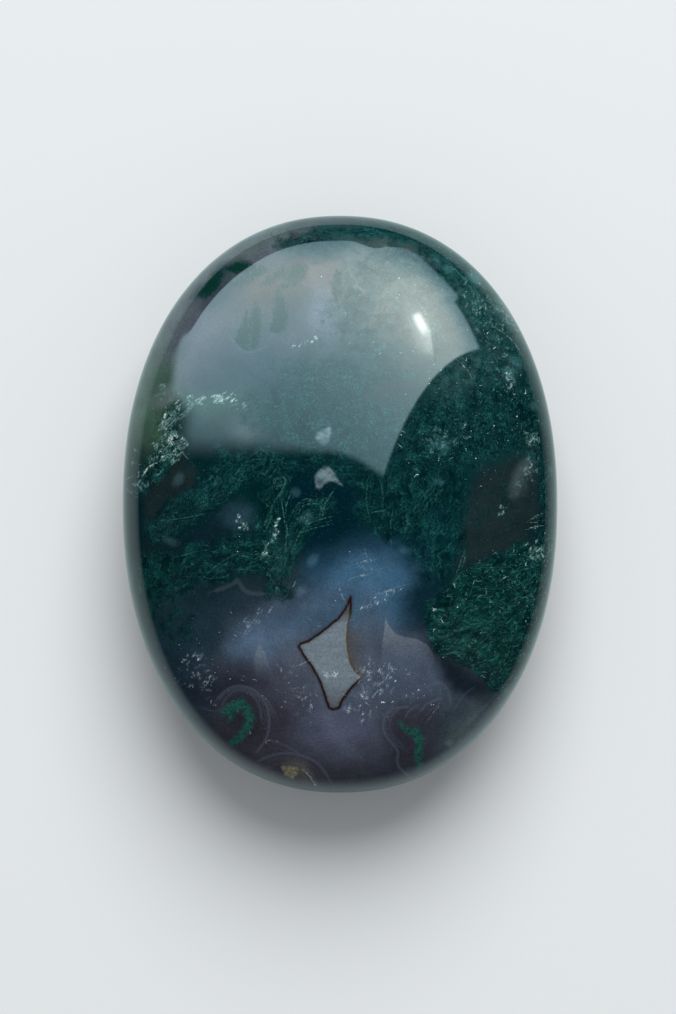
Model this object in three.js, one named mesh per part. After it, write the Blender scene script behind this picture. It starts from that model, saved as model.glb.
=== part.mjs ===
// A polished moss agate palm stone: one oval pebble, domed above and below, that fills a closed hand.
// Millimetres, +Z up. The stone lies on its underside at Z = 0, centred on the Z axis, with its
// length along Y and its width along X.
import * as THREE from "three";

// Driving dimensions
const LENGTH = 60; // along Y
const WIDTH = 45.2; // along X
const THICKNESS = 20.4; // from the resting spot to the crown
const OUTLINE_POWER = 2.18; // the oval seen from above: 2 is an ellipse, more is squarer
const DOME_POWER = 2.2; // the same for the profile seen from the side
const RESTING_SHARE = 0.2; // the flat spot underneath, as a share of the oval

// How finely the smooth surface is faceted
const SIDES = 80;
const RINGS_PER_DOME = 18;

// The height that a dome of height 1 loses where it is cut flat at the resting spot.
const restingDrop = 1 - (1 - RESTING_SHARE ** DOME_POWER) ** (1 / DOME_POWER);

// Both domes have the same height before the underside is cut flat.
const DOME_HEIGHT = THICKNESS / (2 - restingDrop);
const GIRDLE_HEIGHT = THICKNESS - DOME_HEIGHT;

// The share of the oval reached at a dome's height angle, which runs from 0 at the girdle to 90 degrees.
function domeShare(angle) {
  return Math.cos(angle) ** (2 / DOME_POWER);
}

function domeRise(angle) {
  return DOME_HEIGHT * Math.sin(angle) ** (2 / DOME_POWER);
}

// Half of the stone's section, from the middle of the resting spot round to the crown.
function halfSection() {
  const restingAngle = Math.acos(RESTING_SHARE ** (DOME_POWER / 2));
  const points = [new THREE.Vector2(0, 0)];
  for (let i = RINGS_PER_DOME; i > 0; i--) {
    const angle = (restingAngle * i) / RINGS_PER_DOME;
    points.push(new THREE.Vector2(domeShare(angle), GIRDLE_HEIGHT - domeRise(angle)));
  }
  for (let i = 0; i < RINGS_PER_DOME; i++) {
    const angle = ((Math.PI / 2) * i) / RINGS_PER_DOME;
    points.push(new THREE.Vector2(domeShare(angle), GIRDLE_HEIGHT + domeRise(angle)));
  }
  points.push(new THREE.Vector2(0, THICKNESS));
  return points;
}

// Widens a body of revolution of radius 1 about Z to the oval outline.
function shapeToOval(geometry) {
  const position = geometry.getAttribute("position");
  for (let i = 0; i < position.count; i++) {
    const x = position.getX(i);
    const y = position.getY(i);
    const share = Math.hypot(x, y);
    if (share === 0) continue;
    const along = Math.abs(x / share) ** OUTLINE_POWER + Math.abs(y / share) ** OUTLINE_POWER;
    const reach = along ** (-1 / OUTLINE_POWER);
    position.setXY(i, (x * reach * WIDTH) / 2, (y * reach * LENGTH) / 2);
  }
  geometry.computeVertexNormals();
}

function makeStone() {
  const geometry = new THREE.LatheGeometry(halfSection(), SIDES);
  geometry.rotateX(Math.PI / 2);
  shapeToOval(geometry);
  const polishedAgate = new THREE.MeshStandardMaterial({
    color: 0x1f4744,
    roughness: 0.08,
    metalness: 0,
  });
  const stone = new THREE.Mesh(geometry, polishedAgate);
  stone.name = "palm_stone";
  return stone;
}

const mossAgate = new THREE.Group();
mossAgate.name = "moss_agate";
mossAgate.add(makeStone());

export default mossAgate;
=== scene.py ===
"""A polished moss agate palm stone, dressed and lit for its picture.

Lengths are in metres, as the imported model's are. The markings are laid out in millimetres on the
stone seen from straight above, with X to the right and Y to the upper end, and they run down into
the stone from there. The underside has a layout of its own, and the two meet below the widest line.
"""

from __future__ import annotations

import logging
import math
from dataclasses import dataclass, field
from enum import Enum
from functools import reduce

import bmesh
import bpy
import numpy as np
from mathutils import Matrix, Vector, kdtree, noise


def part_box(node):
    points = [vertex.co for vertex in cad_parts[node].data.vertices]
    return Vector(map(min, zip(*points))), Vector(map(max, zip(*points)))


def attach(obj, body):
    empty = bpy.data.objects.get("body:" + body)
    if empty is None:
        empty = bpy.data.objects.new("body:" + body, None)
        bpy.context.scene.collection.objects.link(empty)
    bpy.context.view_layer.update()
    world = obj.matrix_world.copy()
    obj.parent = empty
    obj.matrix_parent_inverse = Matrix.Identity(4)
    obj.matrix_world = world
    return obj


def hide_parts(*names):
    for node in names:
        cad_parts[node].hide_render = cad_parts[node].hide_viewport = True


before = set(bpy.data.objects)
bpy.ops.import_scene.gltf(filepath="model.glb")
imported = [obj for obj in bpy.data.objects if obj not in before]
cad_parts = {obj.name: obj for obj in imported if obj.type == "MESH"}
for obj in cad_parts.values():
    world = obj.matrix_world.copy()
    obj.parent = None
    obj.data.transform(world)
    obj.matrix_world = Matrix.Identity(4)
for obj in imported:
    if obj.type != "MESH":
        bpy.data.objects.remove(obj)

MM = 0.001
STONE_NODE = "palm_stone"

# How far apart the points of a drawn thread of moss lie, and how thick it is, in millimetres
STEP = 0.08
THICKNESS = 0.085

# The half width and half length over which loose threads are sown, in millimetres, how many places
# are tried to find an area's reach, and how many more for each of its threads
FIELD = np.array([23.0, 30.0])
SEARCHED = 40000
TRIES = 30

# Where the random draws start, which makes each run the same
SEED = 20

# Further than anything reaches, how far around a drawn line is measured, and the stored distance
# where no line is near
FAR = 1e9
LINE_MARGIN = 1.0
NO_LINE = 99.0

# How much slower the moss changes along its threads than across them, the least moss that turns
# them its way, and how far apart the patterns of two growths are read, in millimetres
ALONG = 0.3
LEAST_MOSS = 0.02
PATTERN_GAP = 9.7

# The greatest depth in or beside a grain that is stored, in millimetres
DEEPEST = 3.0

log = logging.getLogger("moss_agate")

Spot = tuple[float, float]
Points = tuple[Spot, ...]
Column = np.ndarray
Threads = list[tuple[Column, float]]
Socket = bpy.types.NodeSocket
Number = float | Socket


class Tint(Enum):
    """The colours in the stone, as six-letter codes of how they look in plain white light."""

    GROUND = "12262b"
    PINE = "032428"
    DEEP_TEAL = "0c3133"
    FOREST = "03282c"
    INK = "021f28"
    NIGHT = "081f25"
    FERN_GROUND = "0f2c30"
    DIM_TEAL = "1a3b3b"
    MINERAL_TEAL = "1c4444"
    TEAL_GREY = "36424c"
    SLATE = "0e232c"
    BLUE_SLATE = "24404a"
    SMOKE = "1a272a"
    SMOKE_GREY = "1c2b2e"
    RIM_SLATE = "4a5860"
    MIST = "3a4a50"
    BLUE_MIST = "2b3c48"
    PALE_MIST = "566468"
    MILK = "4d515d"
    GREY_GREEN = "4f5a54"
    ROSE_BROWN = "453c3a"
    ROSE_GREY = "5c5252"
    COOL_MIST = "5a6876"
    WINE = "38282b"
    OLIVE = "2c3f30"
    SAGE = "38544c"
    PALE_SAGE = "4f6961"
    LOW_MILK = "45505f"
    MILKY_BLUE = "385a74"
    BRIGHT_BLUE = "3e627d"
    INK_BLUE = "18374b"
    STEEL = "42586d"
    PALE_STEEL = "52677e"
    DUSK = "1c303c"
    GREY_LILAC = "505866"
    LILAC = "565c70"
    LOW_LILAC = "4a5567"
    LOW_PLUM = "3e3c47"
    PLUM = "36343f"
    DEEP_PLUM = "2b2c37"
    DARK_PLUM = "161f28"
    UMBER = "5d5954"

    # The finer colours that the finish lays over the others
    CLOUD = "5d7180"
    PLUME = "082d28"
    MOSS_BED = "021c21"
    SOFT_MOSS = "0a363a"
    FINE_MOSS = "27716c"
    MOSS_THREAD = "15484a"
    MOSS_LACE = "2a6a68"
    VIVID_MOSS = "569a92"
    MOSS_GAP = "01181b"
    DRAWN_MOSS = "1b5550"
    BRIGHT_DRAWN = "5d9a8c"
    HOLLOW = "01161a"
    # Painted light: the colour of the glow laid in front of the moss
    HAZE = "4a7273"
    GRAIN = "3c5259"
    PALE_GRAIN = "73898f"
    OLIVE_GRAIN = "6a6650"
    PALE_OLIVE = "979274"
    SHARD = "76808a"
    INCLUSION = "16433e"
    PALE_INCLUSION = "246257"
    QUARTZ = "707d87"
    PALE_QUARTZ = "788690"
    GREY_QUARTZ = "535557"
    STAINED_QUARTZ = "3f4038"
    HALO = "241a1c"
    RUST = "24110a"
    GOLD = "55431f"
    MOSS_LINE = "5fa490"
    FROST_LINE = "d5e4e2"
    WALL_LINE = "7c8b9b"
    GRIT = "6f9a96"
    BLUE_GRIT = "8799ab"
    BRIGHT_GRIT = "cfe2e2"


def linear(tint: Tint) -> Column:
    """A colour as linear red, green and blue, from 0 to 1."""
    shown = np.array([int(tint.value[i : i + 2], 16) for i in (0, 2, 4)]) / 255
    return np.where(shown <= 0.04045, shown / 12.92, ((shown + 0.055) / 1.055) ** 2.4)


def shade(tint: Tint) -> tuple[float, ...]:
    """A colour as a node takes it."""
    return (*map(float, linear(tint)), 1.0)


def ease(value: Column, start: float, end: float) -> Column:
    """Goes smoothly from 0 at start to 1 at end, which may be below start."""
    share = np.clip((value - start) / (end - start), 0.0, 1.0)
    return share * share * (3 - 2 * share)


def turned(x: Column, y: Column, degrees: float) -> tuple[Column, Column]:
    """Measures places along and across a direction that is turned from X."""
    c, s = math.cos(math.radians(degrees)), math.sin(math.radians(degrees))
    return c * x + s * y, c * y - s * x


def segment_distance(x: Column, y: Column, start: Spot, end: Spot) -> tuple[Column, Column, Column]:
    """Measures from places to a straight line.

    Args:
        x: The places' X.
        y: The places' Y.
        start: The line's first end.
        end: The line's second end.

    Returns:
        The distance to the line, how far along it the nearest point is, from 0 to 1, and 1 or -1
        for the side of the line.
    """
    dx, dy = end[0] - start[0], end[1] - start[1]
    along = ((x - start[0]) * dx + (y - start[1]) * dy) / (dx * dx + dy * dy)
    along = np.clip(along, 0.0, 1.0)
    away = np.hypot(x - start[0] - along * dx, y - start[1] - along * dy)
    side = np.where((y - start[1]) * dx - (x - start[0]) * dy < 0, -1.0, 1.0)
    return away, along, side


@dataclass(frozen=True)
class Marking:
    """An area of the stone seen from above. edge is the width over which it fades out."""

    edge: float

    def depth(self, x: Column, y: Column) -> Column:
        """How far in millimetres each place lies inside the area, less than 0 outside it."""
        raise NotImplementedError

    def cover(self, x: Column, y: Column) -> Column:
        """From 0 outside the area to 1 well inside it."""
        return ease(self.depth(x, y), -self.edge / 2, self.edge / 2)

    def grain(self, x: Column, y: Column, turn: float) -> tuple[Column, Column]:
        """Millimetres along and across the threads in the area, which lie at a turn from X."""
        return turned(x, y, turn)


@dataclass(frozen=True)
class Pool(Marking):
    """An oval area: its middle, its half sizes and its turn in degrees."""

    middle: Spot
    reach: Spot
    turn: float = 0.0

    def depth(self, x: Column, y: Column) -> Column:
        """How far in millimetres each place lies inside the oval, measured along its short way."""
        along, across = turned(x - self.middle[0], y - self.middle[1], self.turn)
        return (1 - np.hypot(along / self.reach[0], across / self.reach[1])) * min(self.reach)


@dataclass(frozen=True)
class Stroke(Marking):
    """A ribbon along a line of points, with its half width at each end."""

    line: Points
    half_widths: Spot

    def measure(self, x: Column, y: Column) -> tuple[Column, Column, Column]:
        """Measures places from the ribbon's middle line.

        Args:
            x: The places' X.
            y: The places' Y.

        Returns:
            The depth inside the ribbon, the length walked along it, and the distance across it.
        """
        depth, walk, across = np.full(x.shape, -FAR), np.zeros(x.shape), np.zeros(x.shape)
        lengths = [math.dist(a, b) for a, b in zip(self.line, self.line[1:])]
        first, last = self.half_widths
        walked = 0.0
        for start, end, length in zip(self.line, self.line[1:], lengths):
            away, along, side = segment_distance(x, y, start, end)
            here = walked + along * length
            inside = first + (last - first) * here / sum(lengths) - away
            better = inside > depth
            depth = np.where(better, inside, depth)
            walk = np.where(better, here, walk)
            across = np.where(better, away * side, across)
            walked += length
        return depth, walk, across

    def depth(self, x: Column, y: Column) -> Column:
        """How far in millimetres each place lies inside the ribbon."""
        return self.measure(x, y)[0]

    def grain(self, x: Column, y: Column, turn: float) -> tuple[Column, Column]:
        """Millimetres along and across the ribbon, which its threads follow at no turn."""
        return self.measure(x, y)[1:]


@dataclass(frozen=True)
class Patch(Marking):
    """An area inside a closed outline."""

    outline: Points

    def depth(self, x: Column, y: Column) -> Column:
        """Measures how far inside the outline places lie.

        Args:
            x: The places' X.
            y: The places' Y.

        Returns:
            The depth in millimetres, less than 0 outside.
        """
        away = np.full(x.shape, FAR)
        inside = np.zeros(x.shape, bool)
        for start, end in zip(self.outline, self.outline[1:] + self.outline[:1]):
            away = np.minimum(away, segment_distance(x, y, start, end)[0])
            if start[1] != end[1]:
                crossing = start[0] + (y - start[1]) * (end[0] - start[0]) / (end[1] - start[1])
                inside ^= ((start[1] > y) != (end[1] > y)) & (x < crossing)
        return np.where(inside, away, -away)


@dataclass(frozen=True)
class Wash:
    """One soft colour laid into the stone."""

    area: Marking
    tint: Tint
    strength: float = 1.0


@dataclass(frozen=True)
class Growth:
    """Moss in one area: how dense it is, how bright its threads are and which way they lie.

    The threads of a growth without a turn lie every way, and a density under 0 thins it out.
    """

    area: Marking
    density: float
    vivid: float = 0.2
    turn: float | None = 60.0


class Thread(Enum):
    """What a line drawn by itself is made of."""

    MOSS = 0
    FROST = 1
    WALL = 2


@dataclass(frozen=True)
class Lines:
    """Fine lines of one kind, each through a few points and rounded off at its corners."""

    kind: Thread
    strength: float
    half_width: float
    paths: tuple[Points, ...]

    def rounded(self, path: Points) -> Points:
        """Cuts the corners of one line twice.

        Args:
            path: The line's points.

        Returns:
            More points, from the same end to the other.
        """
        for _ in range(2):
            cut = [path[0]]
            for (ax, ay), (bx, by) in zip(path, path[1:]):
                cut.append((ax * 0.75 + bx * 0.25, ay * 0.75 + by * 0.25))
                cut.append((ax * 0.25 + bx * 0.75, ay * 0.25 + by * 0.75))
            path = (*cut, path[-1])
        return path

    def measure(self, path: Points, x: Column, y: Column) -> Column:
        """The distance from one line in its half widths, less than 0 on one side."""
        return Stroke(0.0, self.rounded(path), (0.0, 0.0)).measure(x, y)[2] / self.half_width


class Grit(Enum):
    """What is sprinkled over the moss, and the place of each in the stored numbers."""

    LACE = 0
    SPECKS = 1
    SCRATCHES = 2
    GREEN = 3
    # Painted light: a glow laid in front of the moss
    HAZE = 4
    DARK = 5


@dataclass(frozen=True)
class Bundle:
    """Threads of moss that follow one line side by side.

    spread is the bundle's half width at each end, and lengths are shares of the line.
    """

    line: Points
    spread: Spot
    count: int
    lengths: Spot
    glow: Spot
    waviness: float = 0.3

    def draw(self, rng: np.random.Generator) -> Threads:
        """Draws the threads.

        Args:
            rng: The source of their small differences.

        Returns:
            Each thread's points and its brightness.
        """
        spine = np.array(self.line)
        walked = np.concatenate([[0], np.cumsum(np.hypot(*np.diff(spine, axis=0).T))])
        threads = []
        for _ in range(self.count):
            length = rng.uniform(*self.lengths)
            first = rng.uniform(0, 1 - length)
            stops = np.arange(first * walked[-1], (first + length) * walked[-1] + 3 * STEP, STEP)
            share = stops / walked[-1]
            middle = np.stack([np.interp(stops, walked, spine[:, i]) for i in (0, 1)], axis=1)
            heading = math.atan2(*(middle[-1] - middle[0])[::-1])
            seat, drift = rng.uniform(-1, 1, 2)
            width = self.spread[0] + (self.spread[1] - self.spread[0]) * share
            offset = (seat + drift * 0.4 * (share - first)) * width + sway(rng, stops) * self.waviness
            aside = offset[:, None] * np.array([-math.sin(heading), math.cos(heading)])
            threads.append((middle + aside, rng.uniform(*self.glow)))
        return threads


@dataclass(frozen=True)
class Scatter:
    """Short loose threads of moss in one area.

    heading and fan are the middle and the half range of their angles, in degrees.
    """

    area: Marking
    count: int
    lengths: Spot
    glow: Spot
    heading: float = 45.0
    fan: float = 180.0
    curl: float = 25.0

    def draw(self, rng: np.random.Generator) -> Threads:
        """Draws the threads.

        Args:
            rng: The source of their small differences.

        Returns:
            Each thread's points and its brightness.
        """
        sown = rng.uniform(-FIELD, FIELD, (SEARCHED, 2))
        sown = sown[self.area.cover(*sown.T) > 0.05]
        tries = rng.uniform(sown.min(axis=0), sown.max(axis=0), (self.count * TRIES, 2))
        roots = tries[self.area.cover(*tries.T) > rng.uniform(0.1, 1, len(tries))]
        threads = []
        for root in roots[: self.count]:
            stops = np.arange(0, rng.uniform(*self.lengths) + STEP, STEP)
            turn = math.radians(self.heading + rng.uniform(-self.fan, self.fan))
            bend = math.radians(rng.normal(0, self.curl))
            turns = turn + bend * stops + sway(rng, stops) * 0.5
            steps = np.stack([np.cos(turns), np.sin(turns)], axis=1) * STEP
            threads.append((root + np.cumsum(steps, axis=0), rng.uniform(*self.glow)))
        return threads


def sway(rng: np.random.Generator, stops: Column) -> Column:
    """A smooth random wave along a thread, about 1 high.

    Args:
        rng: The source of its shape.
        stops: The distances along the thread, in millimetres.

    Returns:
        The wave's height at each distance.
    """
    height = np.zeros(len(stops))
    for pitch, reach in ((5.0, 0.7), (2.0, 0.35), (0.8, 0.15)):
        turns = stops / pitch * rng.uniform(0.7, 1.3) + rng.uniform()
        height += reach * np.sin(turns * math.tau)
    return height


# Areas that more than one list below uses, or that are large
SMOKY_LEFT = Patch(1.4, ((-19.8, 3.6), (-16.3, 4.4), (-14.8, 3.2), (-14.8, 1.3), (-16.1, -0.4),
                         (-18.4, -1.6), (-18.9, -5.8), (-20, -4.2), (-20.2, 0.4)))
SMOKY_RIGHT = Patch(2.2, ((11.7, -6.4), (12.5, -1.6), (13.5, 1.7), (15, 3.8), (17.5, 5), (20, 3.6),
                          (20.4, -1.1), (18.7, -4.2), (16.6, -5.4)))
CLEAR_POCKET = Patch(1.3, ((-15, -4.8), (-14.6, -2.9), (-13, -0.8), (-11.2, 0.4), (-9.2, -0.1),
                           (-8.9, -2.1), (-9.9, -4.2), (-12.3, -5.4), (-14, -5.4)))
FERN_PATCH = Patch(0.9, ((9.1, -9.8), (10.4, -8.5), (13.5, -6.2), (16.6, -4.6), (21.6, -3.2), (22.1, -10),
                         (20.3, -16.2), (18.2, -19.3), (16.3, -19.5), (14.8, -18.6), (13.6, -17),
                         (11.4, -16.2), (10.1, -15.5), (8.8, -13.5), (8.7, -11.2)))
CENTRE_MOSS = Patch(2.6, ((1, 3.6), (13.5, 4.4), (12, -6.8), (9.4, -9.1), (7.9, -7.4), (7.1, -5),
                          (1.9, -1.6)))
CROWN_MOSS = Patch(3.0, ((6.2, 7.7), (10, 14.2), (13.9, 17.3), (15, 19.6), (16.9, 21.2), (20, 15),
                         (21.6, 7.7), (20.8, 3.8), (17.2, 5.4), (14, 3.6), (6.2, 2.7)))

# The soft colours of the upper face, the lowest first
UPPER_WASHES = (
    # The misty upper end
    Wash(Pool(12, (-3.1, 19.2), (17.2, 11.2)), Tint.MIST),
    Wash(Pool(6, (-15.1, 16), (3.5, 8.1), -20), Tint.MILK),
    Wash(Pool(5, (-8.1, 14), (5.4, 3.1)), Tint.BLUE_MIST, 0.9),
    Wash(Pool(5, (-5.7, 23.1), (6.2, 2.8), 8), Tint.ROSE_BROWN),
    Wash(Pool(2.5, (-5.3, 22.9), (0.8, 1.9), 10), Tint.DIM_TEAL, 0.35),
    Wash(Patch(1.1, ((-3.4, 24.8), (0.2, 25.1), (0.3, 23.3), (-0.3, 21), (-3, 21.2), (-4.1, 22.9))),
         Tint.ROSE_GREY, 0.8),
    Wash(Pool(3, (-2.9, 26.6), (3.5, 1.1), -8), Tint.FOREST, 0.75),
    Wash(Pool(3, (-7.9, 25.2), (1.9, 1), 15), Tint.MILK, 0.8),
    Wash(Pool(2.6, (-1.9, 19), (1.4, 2.9), 8), Tint.COOL_MIST, 0.95),
    Wash(Pool(4, (-4, 17.1), (2.1, 1.7)), Tint.MILK, 0.6),
    Wash(Pool(7, (6, 21.2), (6, 4.6), -28), Tint.GREY_GREEN),
    Wash(Pool(3, (2, 23.3), (1, 2.2)), Tint.PALE_MIST, 0.9),
    Wash(Pool(7, (1.2, 12.4), (6.2, 2.9)), Tint.DIM_TEAL, 0.9),
    Wash(Pool(2.2, (5.3, 11.4), (2.3, 0.9), 6), Tint.WINE, 0.9),
    Wash(Pool(5, (-2.6, 10), (5.7, 1.9)), Tint.DIM_TEAL, 0.8),
    Wash(Pool(5, (-9.4, 12.1), (3.7, 1.9)), Tint.BLUE_MIST, 0.7),
    Wash(Pool(4, (-13, 9.8), (3.3, 1.6), 8), Tint.SAGE, 0.95),
    Wash(Pool(3, (-12.3, 7.7), (5, 0.9)), Tint.SLATE, 0.45),
    Wash(Pool(2.4, (-9.8, 7.3), (1.6, 1.2)), Tint.PALE_MIST, 0.6),
    Wash(Stroke(2.6, ((-19.1, 12.4), (-17.5, 17.6), (-15.1, 21.7), (-11.7, 25.2), (-8.1, 26.8)), (1, 1.2)),
         Tint.PALE_MIST, 0.8),
    Wash(Stroke(2.4, ((-14.6, 21.7), (-11.7, 24.8), (-8.1, 27), (-3.3, 28.1)), (1, 0.8)), Tint.RIM_SLATE,
         0.85),
    Wash(Stroke(1.6, ((-10.8, 25.2), (-7.7, 27.2), (-4.2, 27.9)), (0.5, 0.5)), Tint.GREY_GREEN, 0.5),
    Wash(Stroke(5, ((12, 24.2), (15.2, 20), (17.9, 15.8), (20, 9.8)), (2.7, 2.3)), Tint.MINERAL_TEAL, 0.85),
    Wash(Stroke(2.2, ((-1.2, 28.2), (1.2, 28.3), (4, 28.2), (8.8, 27.2), (12.5, 24.2), (15.4, 19.4)),
                (0.9, 1.7)), Tint.MINERAL_TEAL),
    Wash(Pool(2.6, (17.4, 19), (0.9, 2.7), 38), Tint.PALE_SAGE, 0.85),
    Wash(Pool(5, (-18.4, 8.2), (2.5, 4.6), -8), Tint.OLIVE, 0.95),
    Wash(Pool(4, (-19.1, 10.2), (1.5, 4), -8), Tint.SAGE, 0.9),
    Wash(Pool(3, (-20.3, 10.3), (0.8, 2.7), -12), Tint.PALE_SAGE, 0.6),
    Wash(Pool(2.4, (-15.4, 7.7), (1.4, 2.2), 4), Tint.INK, 0.8),
    # Painted reflection: a pale spot where the softbox's glow in the polish would reach past its left
    # corner
    Wash(Pool(1.4, (-17.9, 10.9), (1.5, 1.1)), Tint.PALE_MIST, 0.8),
    Wash(Pool(3, (-11.8, 21.6), (2.3, 1.5), 40), Tint.DUSK, 0.8),
    Wash(Stroke(1.3, ((-14.5, 21.7), (-13.3, 23), (-11.9, 24.3), (-10.2, 24.6)), (0.7, 0.6)), Tint.FOREST,
         0.75),
    # The dark middle
    Wash(Pool(4.5, (-1, 0.2), (25, 6), -2), Tint.PINE),
    Wash(Pool(8, (13.5, 8.8), (9.4, 8.3), 40), Tint.DEEP_TEAL, 0.85),
    Wash(Pool(6, (8.8, -2.7), (6.2, 5.7)), Tint.FOREST),
    Wash(Pool(4, (-2.1, -0.8), (3.7, 4), 20), Tint.INK),
    Wash(Stroke(2.5, ((-21.5, 1.5), (-21.4, -5.8), (-19.8, -14.1)), (0.9, 1)), Tint.INK, 0.8),
    Wash(FERN_PATCH, Tint.FERN_GROUND),
    Wash(SMOKY_LEFT, Tint.SMOKE, 0.95),
    Wash(SMOKY_RIGHT, Tint.SMOKE_GREY, 0.95),
    Wash(Stroke(1.2, ((19.7, 5.6), (18.6, 3.6), (17.9, 1.5)), (0.3, 0.6)), Tint.PALE_MIST, 0.5),
    Wash(CLEAR_POCKET, Tint.SLATE, 0.95),
    Wash(Pool(2, (-10.4, -1.4), (1.6, 1.6), 40), Tint.BLUE_SLATE, 0.9),
    # The milky lower end
    Wash(Pool(7, (-15.6, -11.5), (5, 7.3), 15), Tint.NIGHT, 0.9),
    Wash(Pool(9, (-1, -19.3), (15.6, 9.6)), Tint.LOW_MILK),
    Wash(Pool(4.5, (-5.2, -17.5), (3.1, 3.5), 60), Tint.LILAC, 0.95),
    Wash(Stroke(6, ((-17.2, -10), (-16.9, -15.7), (-14.6, -21.9), (-10.6, -26.6)), (3.5, 1.5)), Tint.DUSK,
         0.9),
    Wash(Pool(5, (3.1, -8.5), (5.6, 4.2), -12), Tint.MILKY_BLUE),
    Wash(Pool(6, (3.1, -8.3), (3.7, 2.5), -12), Tint.BRIGHT_BLUE),
    Wash(Stroke(3.5, ((-2.3, -6), (1, -4.2), (5.2, -3.8), (8.1, -5.4)), (0.7, 0.8)), Tint.INK_BLUE, 0.75),
    Wash(Pool(4, (-2.3, -1.6), (4.2, 3.1), 20), Tint.INK, 0.9),
    Wash(Stroke(3.5, ((-0.7, -10.2), (-5.2, -12.3), (-9.4, -13.7)), (2.1, 1.5)), Tint.STEEL, 0.9),
    Wash(Pool(3.4, (-7.5, -14.3), (2.7, 1.8), 8), Tint.PALE_STEEL, 0.95),
    Wash(Pool(2.2, (-13.2, -13.7), (1, 2.7), -12), Tint.DUSK, 0.75),
    Wash(Pool(3, (-11.7, -10.3), (3.3, 1.1), 14), Tint.DUSK, 0.75),
    Wash(Pool(4, (-3.5, -17), (2.7, 3.1)), Tint.GREY_LILAC, 0.9),
    Wash(Pool(4, (-10.4, -17.8), (3.7, 1.6), 4), Tint.DEEP_PLUM, 0.85),
    Wash(Pool(6, (-8.5, -22.9), (5.4, 4.4)), Tint.PLUM),
    Wash(Pool(3, (-12.6, -19.3), (3.1, 1.4), 10), Tint.DARK_PLUM, 0.6),
    Wash(Pool(5, (0.2, -22.9), (3.7, 2.8)), Tint.LILAC, 0.95),
    Wash(Pool(6, (-2.1, -27.9), (11.4, 2.3)), Tint.LOW_PLUM, 0.9),
    Wash(Pool(5, (7.5, -23.3), (3.5, 3.7)), Tint.PLUM, 0.9),
    Wash(Pool(1.2, (-4.1, -27.3), (1.6, 0.8), -35), Tint.UMBER, 0.7),
    Wash(Pool(6, (13.9, -22.7), (4.6, 2.7), 42), Tint.TEAL_GREY),
    Wash(Pool(3.5, (3.1, -15.2), (1.5, 4.4)), Tint.GREY_LILAC, 0.9),
    Wash(Pool(4, (8.6, -10), (2.5, 3.3)), Tint.INK, 0.9),
    Wash(Pool(4, (7, -17), (3.1, 2.9), -20), Tint.LOW_LILAC, 0.95),
    Wash(Stroke(1.6, ((1.5, -13.1), (1.2, -15), (2.1, -17)), (0.5, 0.5)), Tint.UMBER, 0.6),
    Wash(Stroke(1.8, ((9.4, -14.3), (10.6, -16.2), (12.7, -18.1), (14.6, -19.3)), (0.7, 1.2)),
         Tint.DARK_PLUM, 0.95),
    # Partly the stone's pale colour and partly a painted glow of light along the lower right rim
    Wash(Pool(3, (12.9, -23.4), (2.7, 1.2), 48), Tint.PALE_MIST, 0.9),
    Wash(Pool(2.0, (-10.1, -22), (2, 2.5), -15), Tint.DEEP_PLUM, 0.7),
    Wash(Pool(2.2, (6.5, -23.3), (1.5, 2.1)), Tint.DEEP_PLUM, 0.6),
)

# The moss of the upper face
UPPER_GROWTHS = (
    Growth(Stroke(2.5, ((-2.3, 27.9), (0.5, 28.4), (8.3, 27.5), (14.4, 22.5), (18.9, 16)), (0.8, 1.7)),
           0.6, 0.35),
    Growth(Pool(3, (-2.7, 26.5), (3.3, 1.1), -6), 0.9, 0.6, None),
    Growth(Stroke(1.6, ((-16.6, 9.4), (-17.5, 8.1), (-17.3, 5.8), (-19.8, 2.5)), (0.9, 1.4)), 0.85, 0.3,
           None),
    Growth(Pool(6, (6.5, 20), (7.7, 7.5)), 0.58, 0.55, None),
    Growth(Pool(5, (0.5, 9.3), (10.4, 5.8)), 0.74, 0.5, None),
    Growth(CROWN_MOSS, 0.74, 0.45, None),
    Growth(Pool(1.8, (5.4, 11.3), (2.6, 0.9), 4), -0.75, 0.3),
    Growth(Stroke(2.5, ((3.6, 28.1), (8.8, 27.1), (12.3, 23.7), (14.8, 19.4)), (1.2, 1.9)), 0.55, 0.6,
           None),
    Growth(Stroke(3.5, ((-12, 5.1), (-8.1, 4.4), (-3.1, 4.2), (2.1, 3.6), (7.3, 2.9)), (1.2, 2.3)), 0.66,
           0.25),
    Growth(CENTRE_MOSS, 0.8, 0.18, 78),
    Growth(Stroke(2.4, ((-18.9, -2.7), (-16.9, -1.5), (-14.3, 0.4), (-11.2, 2.9), (-8.1, 4.4)), (1.5, 2)),
           0.85, 0.35),
    Growth(Stroke(2.6, ((-20.2, -8.1), (-14.6, -6.4), (-10.6, -5.4), (-7.1, -5)), (2.5, 2.1)), 0.8, 0.3),
    Growth(Pool(5, (-17.5, -11.8), (3.5, 4.2)), 0.45, 0.1),
    Growth(Stroke(1.8, ((-6, -8.9), (-7.8, -4.6), (-7.5, -0.4), (-6.2, 2.5)), (1.4, 1.2)), 0.7, 0.6),
    Growth(Stroke(1.8, ((-6.7, -8.4), (-5.2, -4.2), (-3.5, -1), (-1.5, 0.2)), (1.2, 1.2)), 0.7, 0.6),
    Growth(Stroke(2.4, ((18.7, 12.9), (20.8, 6.7), (21.4, 0.4), (21.4, -5.8), (20.4, -12.1)), (1, 1.5)),
           0.8, 0.5, None),
    Growth(FERN_PATCH, 1.0, 0.7, 15),
    Growth(Pool(3, (15.8, -0.1), (2.5, 3.5), -20), 0.3, 0.1, None),
)

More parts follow.
